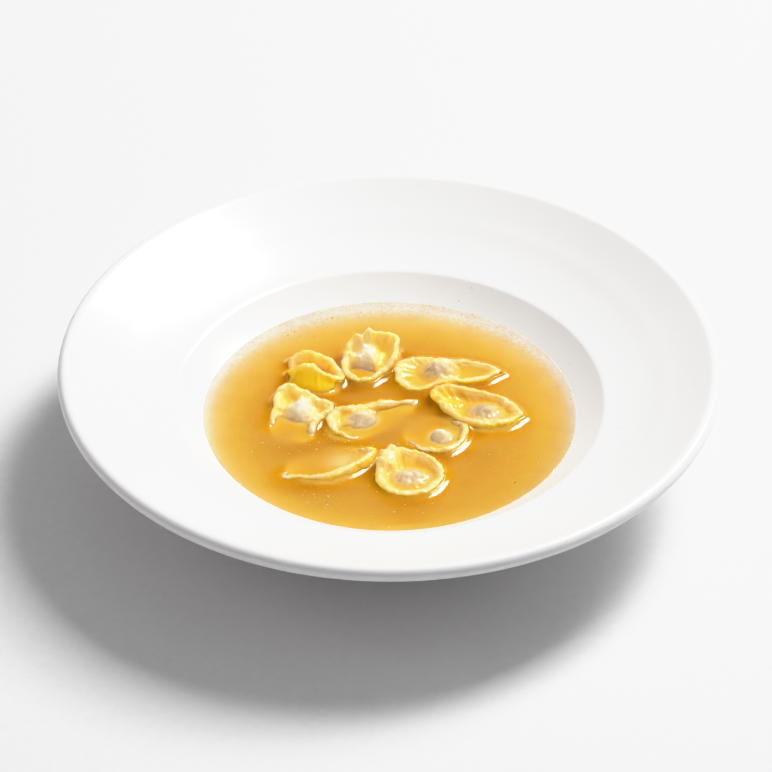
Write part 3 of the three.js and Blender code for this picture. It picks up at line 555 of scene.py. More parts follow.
def tortellino(t, seed):
    count, inner_rows, arc_rows, outer_rows = 176, 34, 7, 26
    phi = np.arange(count) * TAU / count
    px, py, bump_x, bump_y, bump_z = t["pouch"]
    ex, ey, ez = edge_of(t, phi)
    half = edge_share(t, phi, EDGE)
    # The edge is wavy, and its two leaves are pressed thinner in some places than in others.
    around = np.stack([ex, ey, 0 * phi + 30.0 * seed], 1)
    wave = noise(around, 4.2, seed + 3) + 0.5 * noise(around, 2.0, seed + 4)
    ez = ez + 0.36 * wave + 0.14 * noise(around, 1.1, seed + 6)
    ragged = 1 + 0.022 * noise(around, 3.4, seed + 31) + 0.010 * noise(around, 1.4, seed + 33)
    ex, ey = ex * ragged, ey * ragged
    press = 0.86 + 0.2 * noise(around, 3.0, seed + 5)
    rim_z = ez - 0.35 * EDGE

    def at(s, outer):
        side = half * (0.9 if outer else 0.9 - 2 * press)
        x, y = ex * (1 + side) * s, ey * (1 + side) * s
        if outer:
            belly = np.exp(-(np.hypot((x - px) / t["belly"][0], (y - py) / t["belly"][1]) ** 2.4))
            base = t["floor"] - LEAF
            z = base + (rim_z - base) * s ** (t["rise"] * OUTER_STEEPER) - t["drop"] * belly * (1 - s**4)
        else:
            bump = np.exp(-(((x - px) / bump_x) ** 2) - ((y - py) / bump_y) ** 2)
            z = t["floor"] + (ez - 0.28 - t["floor"]) * s ** t["rise"] + bump_z * bump * (1 - s**6)
            for dx, dy, wide_x, wide_y, by in t["dents"]:
                z = z - by * np.exp(-(np.hypot((x - dx) / wide_x, (y - dy) / wide_y) ** 3)) * (1 - s**8)
        wide = np.ones(count)
        for where, width, by, depth in t["swell"]:
            wide = wide + by * bell(phi, where, width) * smooth((rim_z - z) / depth) * (1 if outer else 0.9)
        return np.stack([x * wide, y * wide, z], 1)

    rows, inside, share = [], [], []
    for s in np.linspace(0, 1, inner_rows + 1)[1:] ** 0.85:
        rows.append(at(s, False))
        inside.append(1.0)
        share.append(s)
    low, high = at(1.0, False), at(1.0, True)
    for k in range(1, arc_rows + 1):
        a = math.pi * k / (arc_rows + 1)
        mid = low * (1 + math.cos(a)) / 2 + high * (1 - math.cos(a)) / 2
        mid[:, 2] += 0.62 * math.sin(a) ** 0.9 * (1 - 0.25 * math.cos(a))
        rows.append(mid)
        inside.append(0.5 + 0.5 * math.cos(a))
        share.append(1.0)
    for s in np.linspace(1, 0, outer_rows + 1)[:-1] ** 0.85:
        rows.append(at(s, True))
        inside.append(0.0)
        share.append(s)
    grid = np.array(rows)  # rows, count, 3
    inside, share = np.array(inside)[:, None], np.array(share)[:, None]

    x, y = grid[..., 0], grid[..., 1]
    at_x, at_y, wide_x, wide_y = t.get("meat", (px, py, bump_x * 1.05, bump_y * 1.05))
    fill = np.exp(-np.hypot((x - at_x) / wide_x, (y - at_y) / wide_y) ** 3.5) * inside
    from_edge = (1 - share) * np.hypot(ex, ey)[None, :]
    under = grid[..., 2].max(0)[None, :] - grid[..., 2]
    band = 1.6 * np.ones(count)
    for where, width, by in t.get("broad", []):
        band = band + by * bell(phi, where, width)
    edge = np.where(inside > 0.3, np.exp(-((from_edge / band) ** 2)), np.exp(-((under / 0.95) ** 2)))
    edge = edge * (0.62 + 0.38 * noise(grid + 90.0 * seed, 3.2, seed + 21))
    # Painted shade: the leaf is coloured deeper low in its hollow and on the wall under its edge, less so over the
    # pouch.
    painted_hollow_shade = np.where(
        inside > 0.5, np.exp(-(np.maximum(grid[..., 2] - t["floor"], 0) / 3.0) ** 2), smooth((under - 0.7) / 1.4)
    ) * (1 - 0.75 * np.minimum(1, np.exp(-np.hypot((x - px) / (bump_x * 1.5), (y - py) / (bump_y * 1.5)) ** 2) * 1.4))

    # The leaf is pinched in a groove round the pouch.
    from_pouch = np.hypot((x - px) / (bump_x * 1.45), (y - py) / (bump_y * 1.45))
    groove = np.exp(-(((from_pouch - 1) / 0.2) ** 2)) * inside * smooth((1 - share) / 0.25)
    grid[..., 2] -= (0.5 if t["dry"] else 0.25) * groove
    # Painted shade in the groove too.
    painted_hollow_shade = np.maximum(painted_hollow_shade, np.exp(-(((from_pouch - 1) / 0.3) ** 2)) * inside * smooth((1 - share) / 0.25))

    # Normals of the grid, for what is laid on it along them.
    du = np.roll(grid, -1, 1) - np.roll(grid, 1, 1)
    dv = np.gradient(grid, axis=0)
    normal = np.cross(dv, du)
    normal /= np.maximum(np.linalg.norm(normal, axis=2, keepdims=True), 1e-9)
    lift = np.zeros_like(x)
    angle = np.arctan2(y, x)
    for where, width, depth in t["creases"]:
        away = turn_from(angle, where) / math.radians(width)
        lift -= depth * np.exp(-(away**2)) * smooth((share - 0.35) / 0.3) * (1 - fill) * inside
        lift += 0.5 * depth * np.exp(-((np.abs(away) - 1.6) ** 2) / 0.7) * smooth((share - 0.35) / 0.3) * (1 - fill) * inside
    for (ax, ay), (bx, by), radius, height in t["ridges"]:
        along = np.clip(((x - ax) * (bx - ax) + (y - ay) * (by - ay)) / ((bx - ax) ** 2 + (by - ay) ** 2), 0, 1)
        away = np.hypot(x - ax - along * (bx - ax), y - ay - along * (by - ay)) / radius
        grid[..., 2] += height * np.exp(-(away**2)) * inside * smooth((1 - share) / 0.1)
    for lx, ly, radius, height in t["lobes"]:
        grid[..., 2] += height * np.exp(-(np.hypot(x - lx, y - ly) / radius) ** 2.4) * inside
    pale = np.zeros_like(x)
    for where, out, radius, height in t["knots"]:
        k = int(round(math.radians(where) / TAU * count)) % count
        kx, ky = ex[k] * out, ey[k] * out
        away = np.hypot(x - kx, y - ky) / radius
        lift += height * np.exp(-(away**2.2)) * inside
        edge = np.maximum(edge, 0.9 * np.exp(-(away**2.2)) * inside)
        pale = np.maximum(pale, 0.7 * min(height / 2.4, 1) * np.exp(-(away**2.2)) * inside)
        lift += 0.16 * height * layers(grid + 17.0 * seed, 1.6, seed + 14, 2) * np.exp(-(away**2)) * inside
    placed = grid + np.array([0, 0, 40.0 * seed])
    lift += 0.22 * layers(placed, 5.0, seed, 3) * (0.35 + 0.65 * share)
    lift += fill * (0.34 * layers(placed, 2.8, seed + 5, 2) + 0.16 * noise(placed, 1.2, seed + 6))
    ripple = noise(np.stack([np.cos(angle) * 9, np.sin(angle) * 9, share * 1.2 + 50 * seed + 0 * angle], 2), 1.5, seed + 9)
    lift += 0.14 * ripple * smooth((share - 0.3) / 0.5) * (1 - fill)
    # The sealed edge is crumbly.
    lift += 0.27 * layers(placed, 1.4, seed + 12, 2) * np.exp(-((from_edge / 2.2) ** 2))
    grid = grid + normal * lift[..., None]

    turn = math.radians(t["yaw"])
    c, s_ = math.cos(turn), math.sin(turn)
    slope = t["tilt"][0] * (grid[..., 0] * c - grid[..., 1] * s_) + t["tilt"][1] * (grid[..., 0] * s_ + grid[..., 1] * c)
    grid[..., 2] += slope * inside * (1 - share**4)
    world = np.stack(
        [t["at"][0] + grid[..., 0] * c - grid[..., 1] * s_, t["at"][1] + grid[..., 0] * s_ + grid[..., 1] * c, grid[..., 2]], 2
    )
    rows_n = len(rows)
    first = world[0].mean(0)
    last = world[-1].mean(0)
    points = np.vstack([first[None], world.reshape(-1, 3), last[None]])
    faces = [(0, 1 + j, 1 + (j + 1) % count) for j in range(count)]
    faces += ring_faces(rows_n, count, 1)
    end, base = len(points) - 1, 1 + (rows_n - 1) * count
    faces += [(end, base + (j + 1) % count, base + j) for j in range(count)]

    def column(values, a, b):
        return np.concatenate([[a], (values * np.ones_like(x)).ravel(), [b]])

    # Painted light: how much the raised parts and the filling are brightened, as if light came through the dough.
    tall = smooth((grid[..., 2] - 25.5) / 3.5)
    high = t["painted_glow"] * np.minimum(inside * 2, 1) * np.maximum(tall, 0.9 * fill)
    outside = 1 - np.minimum(inside * 2, 1)
    # Painted light on the walls above the broth, and on the raised parts inside for pieces given a share for it.
    painted_light = t.get("painted_light", 0) * np.maximum(outside * smooth((grid[..., 2] - 24.2) / 2.6), 0.75 * (1 - outside) * tall * t.get("painted_light_in", 0))
    attributes = {
        "painted_glow": column(np.clip(high, 0, 1), float(high[0].mean()), 0),
        "pale": column(pale, 0, 0),
        "dull": column(t.get("dull", 0) * np.minimum(inside * 2, 1), 0, 0),
        "painted_light": column(np.clip(painted_light, 0, 1), 0, 0),
        "edge": column(np.clip(edge, 0, 1), 0, 0),
        "fill": column(np.clip(fill, 0, 1), float(fill[0].mean()), 0),
        "painted_hollow_shade": column(np.clip(painted_hollow_shade, 0, 1), float(painted_hollow_shade[0].mean()), 1),
    }
    return points, faces, attributes


def make_tortellini(material):
    shapes = []
    for i, t in enumerate(TORTELLINI):
        points, faces, attributes = tortellino(t, i + 1)
        # Nothing goes through the plate.
        floor = well_z(np.hypot(points[:, 0], points[:, 1])) + 0.12
        points[:, 2] = np.maximum(points[:, 2], floor)
        obj = make(t["name"].replace("tortellino", "filled_pasta"), points, faces, t["name"], attributes)
        obj.data.materials.append(material)
        edges = set()
        for f in faces:
            for a, b in zip(f, f[1:] + f[:1]):
                edges.add((a, b) if a < b else (b, a))
        shapes.append((t, points, faces, np.array(sorted(edges)), vertex_normals(points, faces)))
    return shapes


# ------------------------------------------------------------------ the broth
# Painted shadows on the broth, where the pieces shade it: place, half width each way, and how much.
PAINTED_SHADOWS = (
    (-16.4, 14.6, 7.5, 4.5, 0.6), (-36.0, -26.0, 9.0, 4.0, 0.5), (-21.0, -20.0, 7.0, 3.5, 0.45), (-33.0, -50.0, 12.0, 4.0, 0.6),
    (7.5, -61.0, 10.0, 3.5, 0.6), (27.0, -27.5, 10.0, 3.0, 0.35), (24.0, -8.0, 6.0, 4.0, 0.35), (-46.0, 12.0, 5.0, 6.0, 0.25),
)
CLIMB = 3.0  # how high the broth climbs an upright wall of dough
LEVELS = (0.12, 0.45, 0.85, 1.25, 1.7, 2.1, 2.55, 3.0)  # heights above the broth at which the dough's outline is taken
REACH = 2.2  # over what distance it falls back to its level
POOL_CLIMB = 1.0  # how high it climbs inside a piece
POOL_REACH = 1.4
EDGE_CLIMB, EDGE_REACH = 0.3, 1.3  # the same at the plate


def local_of(t, x, y):
    """A place on the plate as an angle round a piece and a share of the way out to its edge."""
    turn = math.radians(t["yaw"])
    dx, dy = x - t["at"][0], y - t["at"][1]
    u, v = (dx * math.cos(turn) + dy * math.sin(turn)) / t["half"][0], (dy * math.cos(turn) - dx * math.sin(turn)) / t["half"][1]
    phi = np.arctan2(v, u)
    reach = station(t["rim"], phi)
    for at, by, half in t["tips"]:
        reach = reach + by * bell(phi, at, half)
    return phi, np.hypot(u, v) / reach


def crossing(shape, height):
    """Where a piece's surface crosses a height above the broth: places, normals there, and which lie on its outside."""
    t, points, faces, edges, normals = shape
    level = BROTH_Z + height
    za, zb = points[edges[:, 0], 2] - level, points[edges[:, 1], 2] - level
    cut = edges[(za * zb) < 0]
    if not len(cut):
        return np.zeros((0, 3)), np.zeros((0, 3)), np.zeros(0, bool), np.zeros(0), np.zeros(0)
    za, zb = points[cut[:, 0], 2] - level, points[cut[:, 1], 2] - level
    w = (za / (za - zb))[:, None]
    p = points[cut[:, 0]] * (1 - w) + points[cut[:, 1]] * w
    lean = normals[cut[:, 0]] * (1 - w) + normals[cut[:, 1]] * w
    phi, share = local_of(t, p[:, 0], p[:, 1])
    outer = (((p[:, :2] - np.array(t["at"])) * lean[:, :2]).sum(1) > 0) & (share > 0.8)
    return p, lean, outer, phi, share


def pools(shapes, height):
    """Points of the dough's outline inside the pieces at a height, where the dough is steep enough for the broth to climb so far."""
    found = []
    for shape in shapes:
        p, lean, outer, _, _ = crossing(shape, height)
        use = ~outer & ((height <= POOL_CLIMB * (1 - np.clip(lean[:, 2], 0, 1)) ** 0.6) | (height < 0.2))
        found.append(p[use])
    return np.vstack(found)


BINS = 240


def blurred(values, weights, wide):
    """Values round a piece, smoothed over so many bins, and how much was there to smooth."""
    taps = np.arange(-4 * wide, 4 * wide + 1)
    bell_ = np.exp(-((taps / wide) ** 2))
    at = (np.arange(BINS)[:, None] + taps[None, :]) % BINS
    total = (weights[at] * bell_).sum(1)
    return (values[at] * weights[at] * bell_).sum(1) / np.maximum(total, 1e-6), total / bell_.sum()


def meniscus(shape):
    """The smooth line round a piece where the broth has climbed one millimetre, and how high it climbs there at all."""
    t = shape[0]
    phi = (np.arange(BINS) + 0.5) * TAU / BINS
    x, y, _ = edge_of(t, phi)
    x2, y2, _ = edge_of(t, phi + 0.02)
    r = np.hypot(x, y)
    across = np.maximum(np.abs(x * (y2 - y) - y * (x2 - x)) / (r * np.hypot(x2 - x, y2 - y)), 0.5)
    line, top, top_share = np.full(BINS, -9.0), np.zeros(BINS), np.zeros(BINS)
    for height in LEVELS:
        _, lean, outer, at, share = crossing(shape, height)
        use = outer & (height <= CLIMB * (1 - np.clip(lean[:, 2], 0, 1)) ** 0.6)
        slot = (np.floor(at[use] / TAU * BINS).astype(int)) % BINS
        count = np.bincount(slot, minlength=BINS).astype(float)
        mean = np.bincount(slot, share[use], BINS) / np.maximum(count, 1)
        even, there = blurred(mean, (count > 0).astype(float), 3)
        there = there > 0.35
        line = np.where(there, np.maximum(line, even + REACH * math.log(height) / across / r), line)
        top, top_share = np.where(there, height, top), np.where(there, even, top_share)
    found = (top > 0).astype(float)
    line, _ = blurred(line, found, 8)
    top_share, _ = blurred(top_share, found, 4)
    top, strength = blurred(top, found, 4)
    k = np.arange(BINS * 4) / 4.0
    low = k.astype(int)
    part, high = k % 1.0, (low + 1) % BINS
    out = line[low] * (1 - part) + line[high] * part
    x, y, _ = edge_of(t, (k + 0.5) * TAU / BINS)
    x, y = x * out, y * out
    turn = math.radians(t["yaw"])
    tree = KDTree(len(k))
    for i in range(len(k)):
        a, b = float(x[i]), float(y[i])
        tree.insert((t["at"][0] + a * math.cos(turn) - b * math.sin(turn), t["at"][1] + a * math.sin(turn) + b * math.cos(turn), 0), i)
    tree.balance()
    strength = smooth((strength - 0.3) / 0.5)
    return {"t": t, "tree": tree, "tables": np.stack([line, top, top_share, strength, r]).tolist()}


def climb(m, x, y):
    """How high the broth stands at a place on account of one piece."""
    t = m["t"]
    away = m["tree"].find((x, y, 0))[2]
    if away > 14:
        return 0.0
    turn = math.radians(t["yaw"])
    dx, dy = x - t["at"][0], y - t["at"][1]
    dx, dy = dx * math.cos(turn) + dy * math.sin(turn), dy * math.cos(turn) - dx * math.sin(turn)
    k = math.atan2(dy / t["half"][1], dx / t["half"][0]) % TAU / TAU * BINS - 0.5
    low, part = int(math.floor(k)) % BINS, k - math.floor(k)
    high = (low + 1) % BINS
    line, top, edge, strength, r = (table[low] * (1 - part) + table[high] * part for table in m["tables"])
    share = math.hypot(dx, dy) / r
    rise = math.exp(-(away if share > line else -away) / REACH)
    if share < edge:
        rise = min(rise, top) * math.exp(-(edge - share) * r / 0.8)
    return min(rise, top + 0.1) * strength


def vertex_normals(points, faces):
    normals = np.zeros_like(points)
    quads = np.array([f if len(f) == 4 else (*f, f[2]) for f in faces])
    a, b, c, d = (points[quads[:, k]] for k in range(4))
    n = np.cross(c - a, d - b)
    tri = quads[:, 2] == quads[:, 3]
    n[tri] = np.cross(b[tri] - a[tri], c[tri] - a[tri])
    for k in range(4):
        np.add.at(normals, quads[:, k], n)
    return normals / np.maximum(np.linalg.norm(normals, axis=1, keepdims=True), 1e-12)


def soften(values, faces, times):
    """Each value moved toward the mean of its neighbours, a number of times over."""
    a = np.concatenate([[f[k] for f in faces] for k in range(3)])
    b = np.concatenate([[f[(k + 1) % len(f)] for f in faces] for k in range(3)])
    count = np.bincount(a, minlength=len(values)) + np.bincount(b, minlength=len(values))
    for _ in range(times):
        total = np.bincount(a, values[b], len(values)) + np.bincount(b, values[a], len(values))
        values = 0.5 * values + 0.5 * total / np.maximum(count, 1)
    return values


def make_broth(shapes):
    edge_r = WELL_MOUTH_R * ((BROTH_Z + EDGE_CLIMB - WELL_FLOOR_Z) / (WELL_MOUTH_Z - WELL_FLOOR_Z)) ** (1 / WELL_POWER)
    level_r = WELL_MOUTH_R * ((BROTH_Z - WELL_FLOOR_Z) / (WELL_MOUTH_Z - WELL_FLOOR_Z)) ** (1 / WELL_POWER)
    # The broth climbs the dough near it, and its sheet goes on inside the dough.
    trees = []
    for height_over in (0.12, 0.45, 0.85):
        contact = pools(shapes, height_over)
        tree = KDTree(len(contact))
        for i, p in enumerate(contact):
            tree.insert((p[0], p[1], 0), i)
        tree.balance()
        trees.append((height_over, tree))
    walls = [meniscus(shape) for shape in shapes]
    contact = np.vstack([crossing(shape, 0.12)[0] for shape in shapes])
    beside = KDTree(len(contact))
    for i, p in enumerate(contact):
        beside.insert((p[0], p[1], 0), i)
    beside.balance()
    solids = []
    for t, shape_points, faces, _, _ in shapes:
        low, high = shape_points.min(0), shape_points.max(0)
        solids.append((t, low, high, BVHTree.FromPolygons(shape_points.tolist(), faces)))

    # The sheet is a net of triangles, closer together beside the dough, with rings along the plate.
    fine = 0.305
    inner_r = edge_r - 5.2
    reach = int(inner_r / fine) + 2
    ni, nj = np.meshgrid(np.arange(-reach, reach + 1), np.arange(-reach, reach + 1))
    ni, nj = ni.ravel(), nj.ravel()
    nx, ny = (ni + 0.5 * nj) * fine, nj * fine * math.sqrt(0.75)
    inside = np.hypot(nx, ny) < inner_r
    ni, nj, nx, ny = ni[inside], nj[inside], nx[inside], ny[inside]
    step = np.where((ni % 4 == 0) & (nj % 4 == 0), 4, np.where((ni % 2 == 0) & (nj % 2 == 0), 2, 1))
    far = {}
    keep = step == 4
    for i in np.flatnonzero(keep):
        far[(int(ni[i]) // 4, int(nj[i]) // 4)] = beside.find((nx[i], ny[i], 0))[2]
    coarse = np.array([far.get((a, b), 99.0) for a, b in zip((ni // 4).tolist(), (nj // 4).tolist())])
    for i in np.flatnonzero(~keep & (coarse < 10)):
        away = beside.find((nx[i], ny[i], 0))[2]
        keep[i] = away < (7.5 if step[i] == 2 else 4.2)
    places = [np.stack([nx[keep], ny[keep]], 1)]
    counts = [320, 640, 640, 640, 640, 640, 640, 640, 640, 640]
    for r, count in zip(np.linspace(inner_r + 0.8, edge_r, len(counts)), counts):
        a = np.arange(count) * TAU / count
        places.append(np.stack([r * np.cos(a), r * np.sin(a)], 1))
    places = np.vstack(places)
    net = delaunay_2d_cdt([Vector(p) for p in places.tolist()], [], [], 0, 1e-7, False)
    places = np.array([(p.x, p.y) for p in net[0]])
    faces = [tuple(f) for f in net[2]]
    top = np.column_stack([places, np.zeros(len(places))])
    total = len(top)
    rim = np.flatnonzero(np.hypot(places[:, 0], places[:, 1]) > edge_r - 0.01)
    rim = rim[np.argsort(np.round(np.arctan2(places[rim, 1], places[rim, 0]) % TAU, 6) % round(TAU, 6))].tolist()

    height = np.zeros(len(top))
    depth = np.zeros(len(top))
    painted_shade_close = np.zeros(len(top))
    painted_shade_between = np.zeros(len(top))
    shoal = np.zeros(len(top))
    paste = np.zeros(len(top))
    for i, (x, y, _) in enumerate(top):
        away = beside.find((x, y, 0))[2]
        rise = 0.0
        if away < 14:
            for height_over, tree in trees:
                rise += (height_over * math.exp(-tree.find((x, y, 0))[2] / POOL_REACH)) ** 8
            rise = (rise**0.5 + sum(climb(m, x, y) ** 4 for m in walls)) ** 0.25
        # Painted shade: the broth is darkened close to each piece, and more where several pieces stand close together.
        painted_shade_close[i] = math.exp(-((away / 5.0) ** 3.5))
        if away < 16:
            painted_shade_between[i] = 0.75 * float(smooth((sum(math.exp(-((m["tree"].find((x, y, 0))[2] / 6.5) ** 2)) for m in walls) - 1.05) / 0.9))
        for at_x, at_y, wide_x, wide_y, much in PAINTED_SHADOWS:
            painted_shade_between[i] += much * math.exp(-(((x - at_x) / wide_x) ** 2) - ((y - at_y) / wide_y) ** 2)
        r = math.hypot(x, y)
        z = BROTH_Z + rise + EDGE_CLIMB * math.exp(-(edge_r - r) / EDGE_REACH)
        height[i] = z
        # The dough above and below this spot.
        over, lean, piece = None, 0.0, None
        for t, low, high, bvh in solids:
            if not (low[0] < x < high[0] and low[1] < y < high[1]):
                continue
            origin, crossings = Vector((x, y, -5.0)), []
            while True:
                hit = bvh.ray_cast(origin, Vector((0, 0, 1)), 100)
                if hit[0] is None:
                    break
                crossings.append((hit[0].z, abs(hit[1].z)))
                origin = Vector((x, y, hit[0].z + 1e-3))
            for (a, _), (b, slant) in zip(crossings[::2], crossings[1::2]):
                if t["dry"] and a < z and b > z - 1.5 and float(local_of(t, x, y)[1]) < 0.93:
                    # No broth lies in this piece: the sheet stays under its leaf.
                    z = height[i] = min(z, max(b - 0.5, (a + b) / 2))
                if a < z < b:
                    piece = (t, 0.0)
                    shoal[i] = 0.9 * float(1 - smooth((float(local_of(t, x, y)[1]) - 0.86) / 0.1))
                elif b <= z and (over is None or b > over):
                    over, lean = b, slant
                    piece = piece or (t, z - b)
        if piece:
            # The filling shows through the broth just over it.
            t, deep_by = piece
            turn, (px, py, wide_x, wide_y, _) = math.radians(t["yaw"]), t["pouch"]
            u = (x - t["at"][0]) * math.cos(turn) + (y - t["at"][1]) * math.sin(turn) - px
            v = (y - t["at"][1]) * math.cos(turn) - (x - t["at"][0]) * math.sin(turn) - py
            paste[i] = math.exp(-(math.hypot(u / wide_x, v / wide_y) ** 3)) * math.exp(-deep_by / 1.5)
        # How much broth lies under the surface, met aslant: the near wall falls away under it, the far wall comes up.
        ahead = max(0.0, z - float(well_z(r)))
        side = y / max(r, 1.0)
        out = math.hypot(x, y + 0.8 * ahead) + smooth((r - 45) / 30) * (2.4 * max(side, 0) - 8.5 * max(-side, 0) ** 1.2)
        depth[i] = max(0.0, z - float(well_z(min(out, 86))))
        if over is not None and shoal[i] == 0:
            shoal[i] = math.exp(-max(0.0, z - over) / 2.6) * float(smooth((lean - 0.1) / 0.3))
    top[:, 2] = height

    top[:, 2] = soften(top[:, 2], faces, 3)
    shoal = soften(shoal, faces, 16)
    painted_shade_close = soften(painted_shade_close, faces, 12)
    painted_shade_between = soften(painted_shade_between, faces, 12)
    paste = soften(paste, faces, 6)
    # Below, the broth follows the well.
    below, below_counts = [], []
    for share in (0.985, 0.95, 0.88, 0.78, 0.65, 0.5, 0.3, 0.12):
        below.append(edge_r * share)
        below_counts.append(640 if share > 0.97 else 160)
    bottom_points, bottom_starts = [], []
    for r, count in zip(below, below_counts):
        a = np.arange(count) * TAU / count
        z = float(well_z(r)) + 0.04
        bottom_starts.append(total)
        bottom_points.append(np.stack([r * np.cos(a), r * np.sin(a), np.full(count, z)], 1))
        total += count
    bottom_points.append(np.array([[0, 0, WELL_FLOOR_Z + 0.04]]))
    all_points = np.vstack([top, *bottom_points])
    b = bottom_starts[0]
    faces += [(rim[j], b + j, b + (j + 1) % 640, rim[(j + 1) % 640]) for j in range(640)]
    for i in range(len(below) - 1):
        a, b, n, m = bottom_starts[i], bottom_starts[i + 1], below_counts[i], below_counts[i + 1]
        for j in range(m):
            k = (j + 1) % m
            if n == m:
                faces.append((a + j, b + j, b + k, a + k))
            else:
                q = n // m
                for e in range(q // 2):
                    faces.append((a + q * j + e, b + j, a + q * j + e + 1))
                faces.append((a + q * j + q // 2, b + j, b + k))
                for e in range(q // 2, q):
                    faces.append((a + q * j + e, b + k, a + (q * j + e + 1) % n))
    a = bottom_starts[-1]
    faces += [(total, a + (j + 1) % 160, a + j) for j in range(160)]
    extra = len(all_points) - len(top)
    attributes = {
        "depth": np.concatenate([np.clip(depth / 17.0, 0, 1), np.full(extra, 0.6)]),
        "body": np.concatenate([smooth((top[:, 2] - well_z(np.hypot(top[:, 0], top[:, 1])) - 3) / 8), np.zeros(extra)]),
        "near": np.concatenate([painted_shade_close, np.zeros(extra)]),
        "painted_shade_between": np.concatenate([np.clip(painted_shade_between, 0, 1), np.zeros(extra)]),
        "shoal": np.concatenate([shoal, np.zeros(extra)]),
        "painted_wall_shade": np.concatenate([smooth((np.hypot(top[:, 0], top[:, 1]) - 60) / 15) * np.clip(np.hypot(1.1 * np.maximum(top[:, 0], 0), 0.8 * np.maximum(top[:, 1], 0)) / 74, 0, 1.1), np.zeros(extra)]),
        "froth": np.concatenate([np.exp(-((depth / 3.2) ** 2)) * smooth((top[:, 1] / np.maximum(np.hypot(top[:, 0], top[:, 1]), 1) - 0.1) / 0.5), np.zeros(extra)]),
        "paste": np.concatenate([np.clip(paste, 0, 1), np.zeros(extra)]),
    }
    broth = make("clear_broth", all_points, faces, "broth", attributes)
    broth.data.materials.append(broth_material())
    return broth, level_r


def domes(spots, segments=12, rings=3):
    """Small flattened drops at places: x, y, z, radius, height and shade."""
    points, faces, shade = [], [], []
    for x, y, z, radius, tall, tint in spots:
        first, turn = len(points), x * 7.0 + y * 3.0
        points.append((x, y, z + tall))
        for k in range(1, rings + 2):
            share = min(k / rings, 1.0)
            level = z - 0.05 - 0.04 * tall if k > rings else z + tall * (1 - share**2) ** 0.7
            for j in range(segments):
                a = turn + TAU * j / segments
                wobble = 1 + 0.12 * math.sin(2 * a + turn) + 0.07 * math.sin(3 * a - turn)
                points.append((x + radius * share * wobble * math.cos(a), y + radius * share * wobble * math.sin(a), level))
        points.append((x, y, z - 0.05 - 0.04 * tall))
        shade += [tint] * (len(points) - first)
        faces += [(first, first + 1 + j, first + 1 + (j + 1) % segments) for j in range(segments)]
        faces += ring_faces(rings + 1, segments, first + 1)
        last, base = len(points) - 1, first + 1 + rings * segments
        faces += [(last, base + (j + 1) % segments, base + j) for j in range(segments)]
    return points, faces, shade


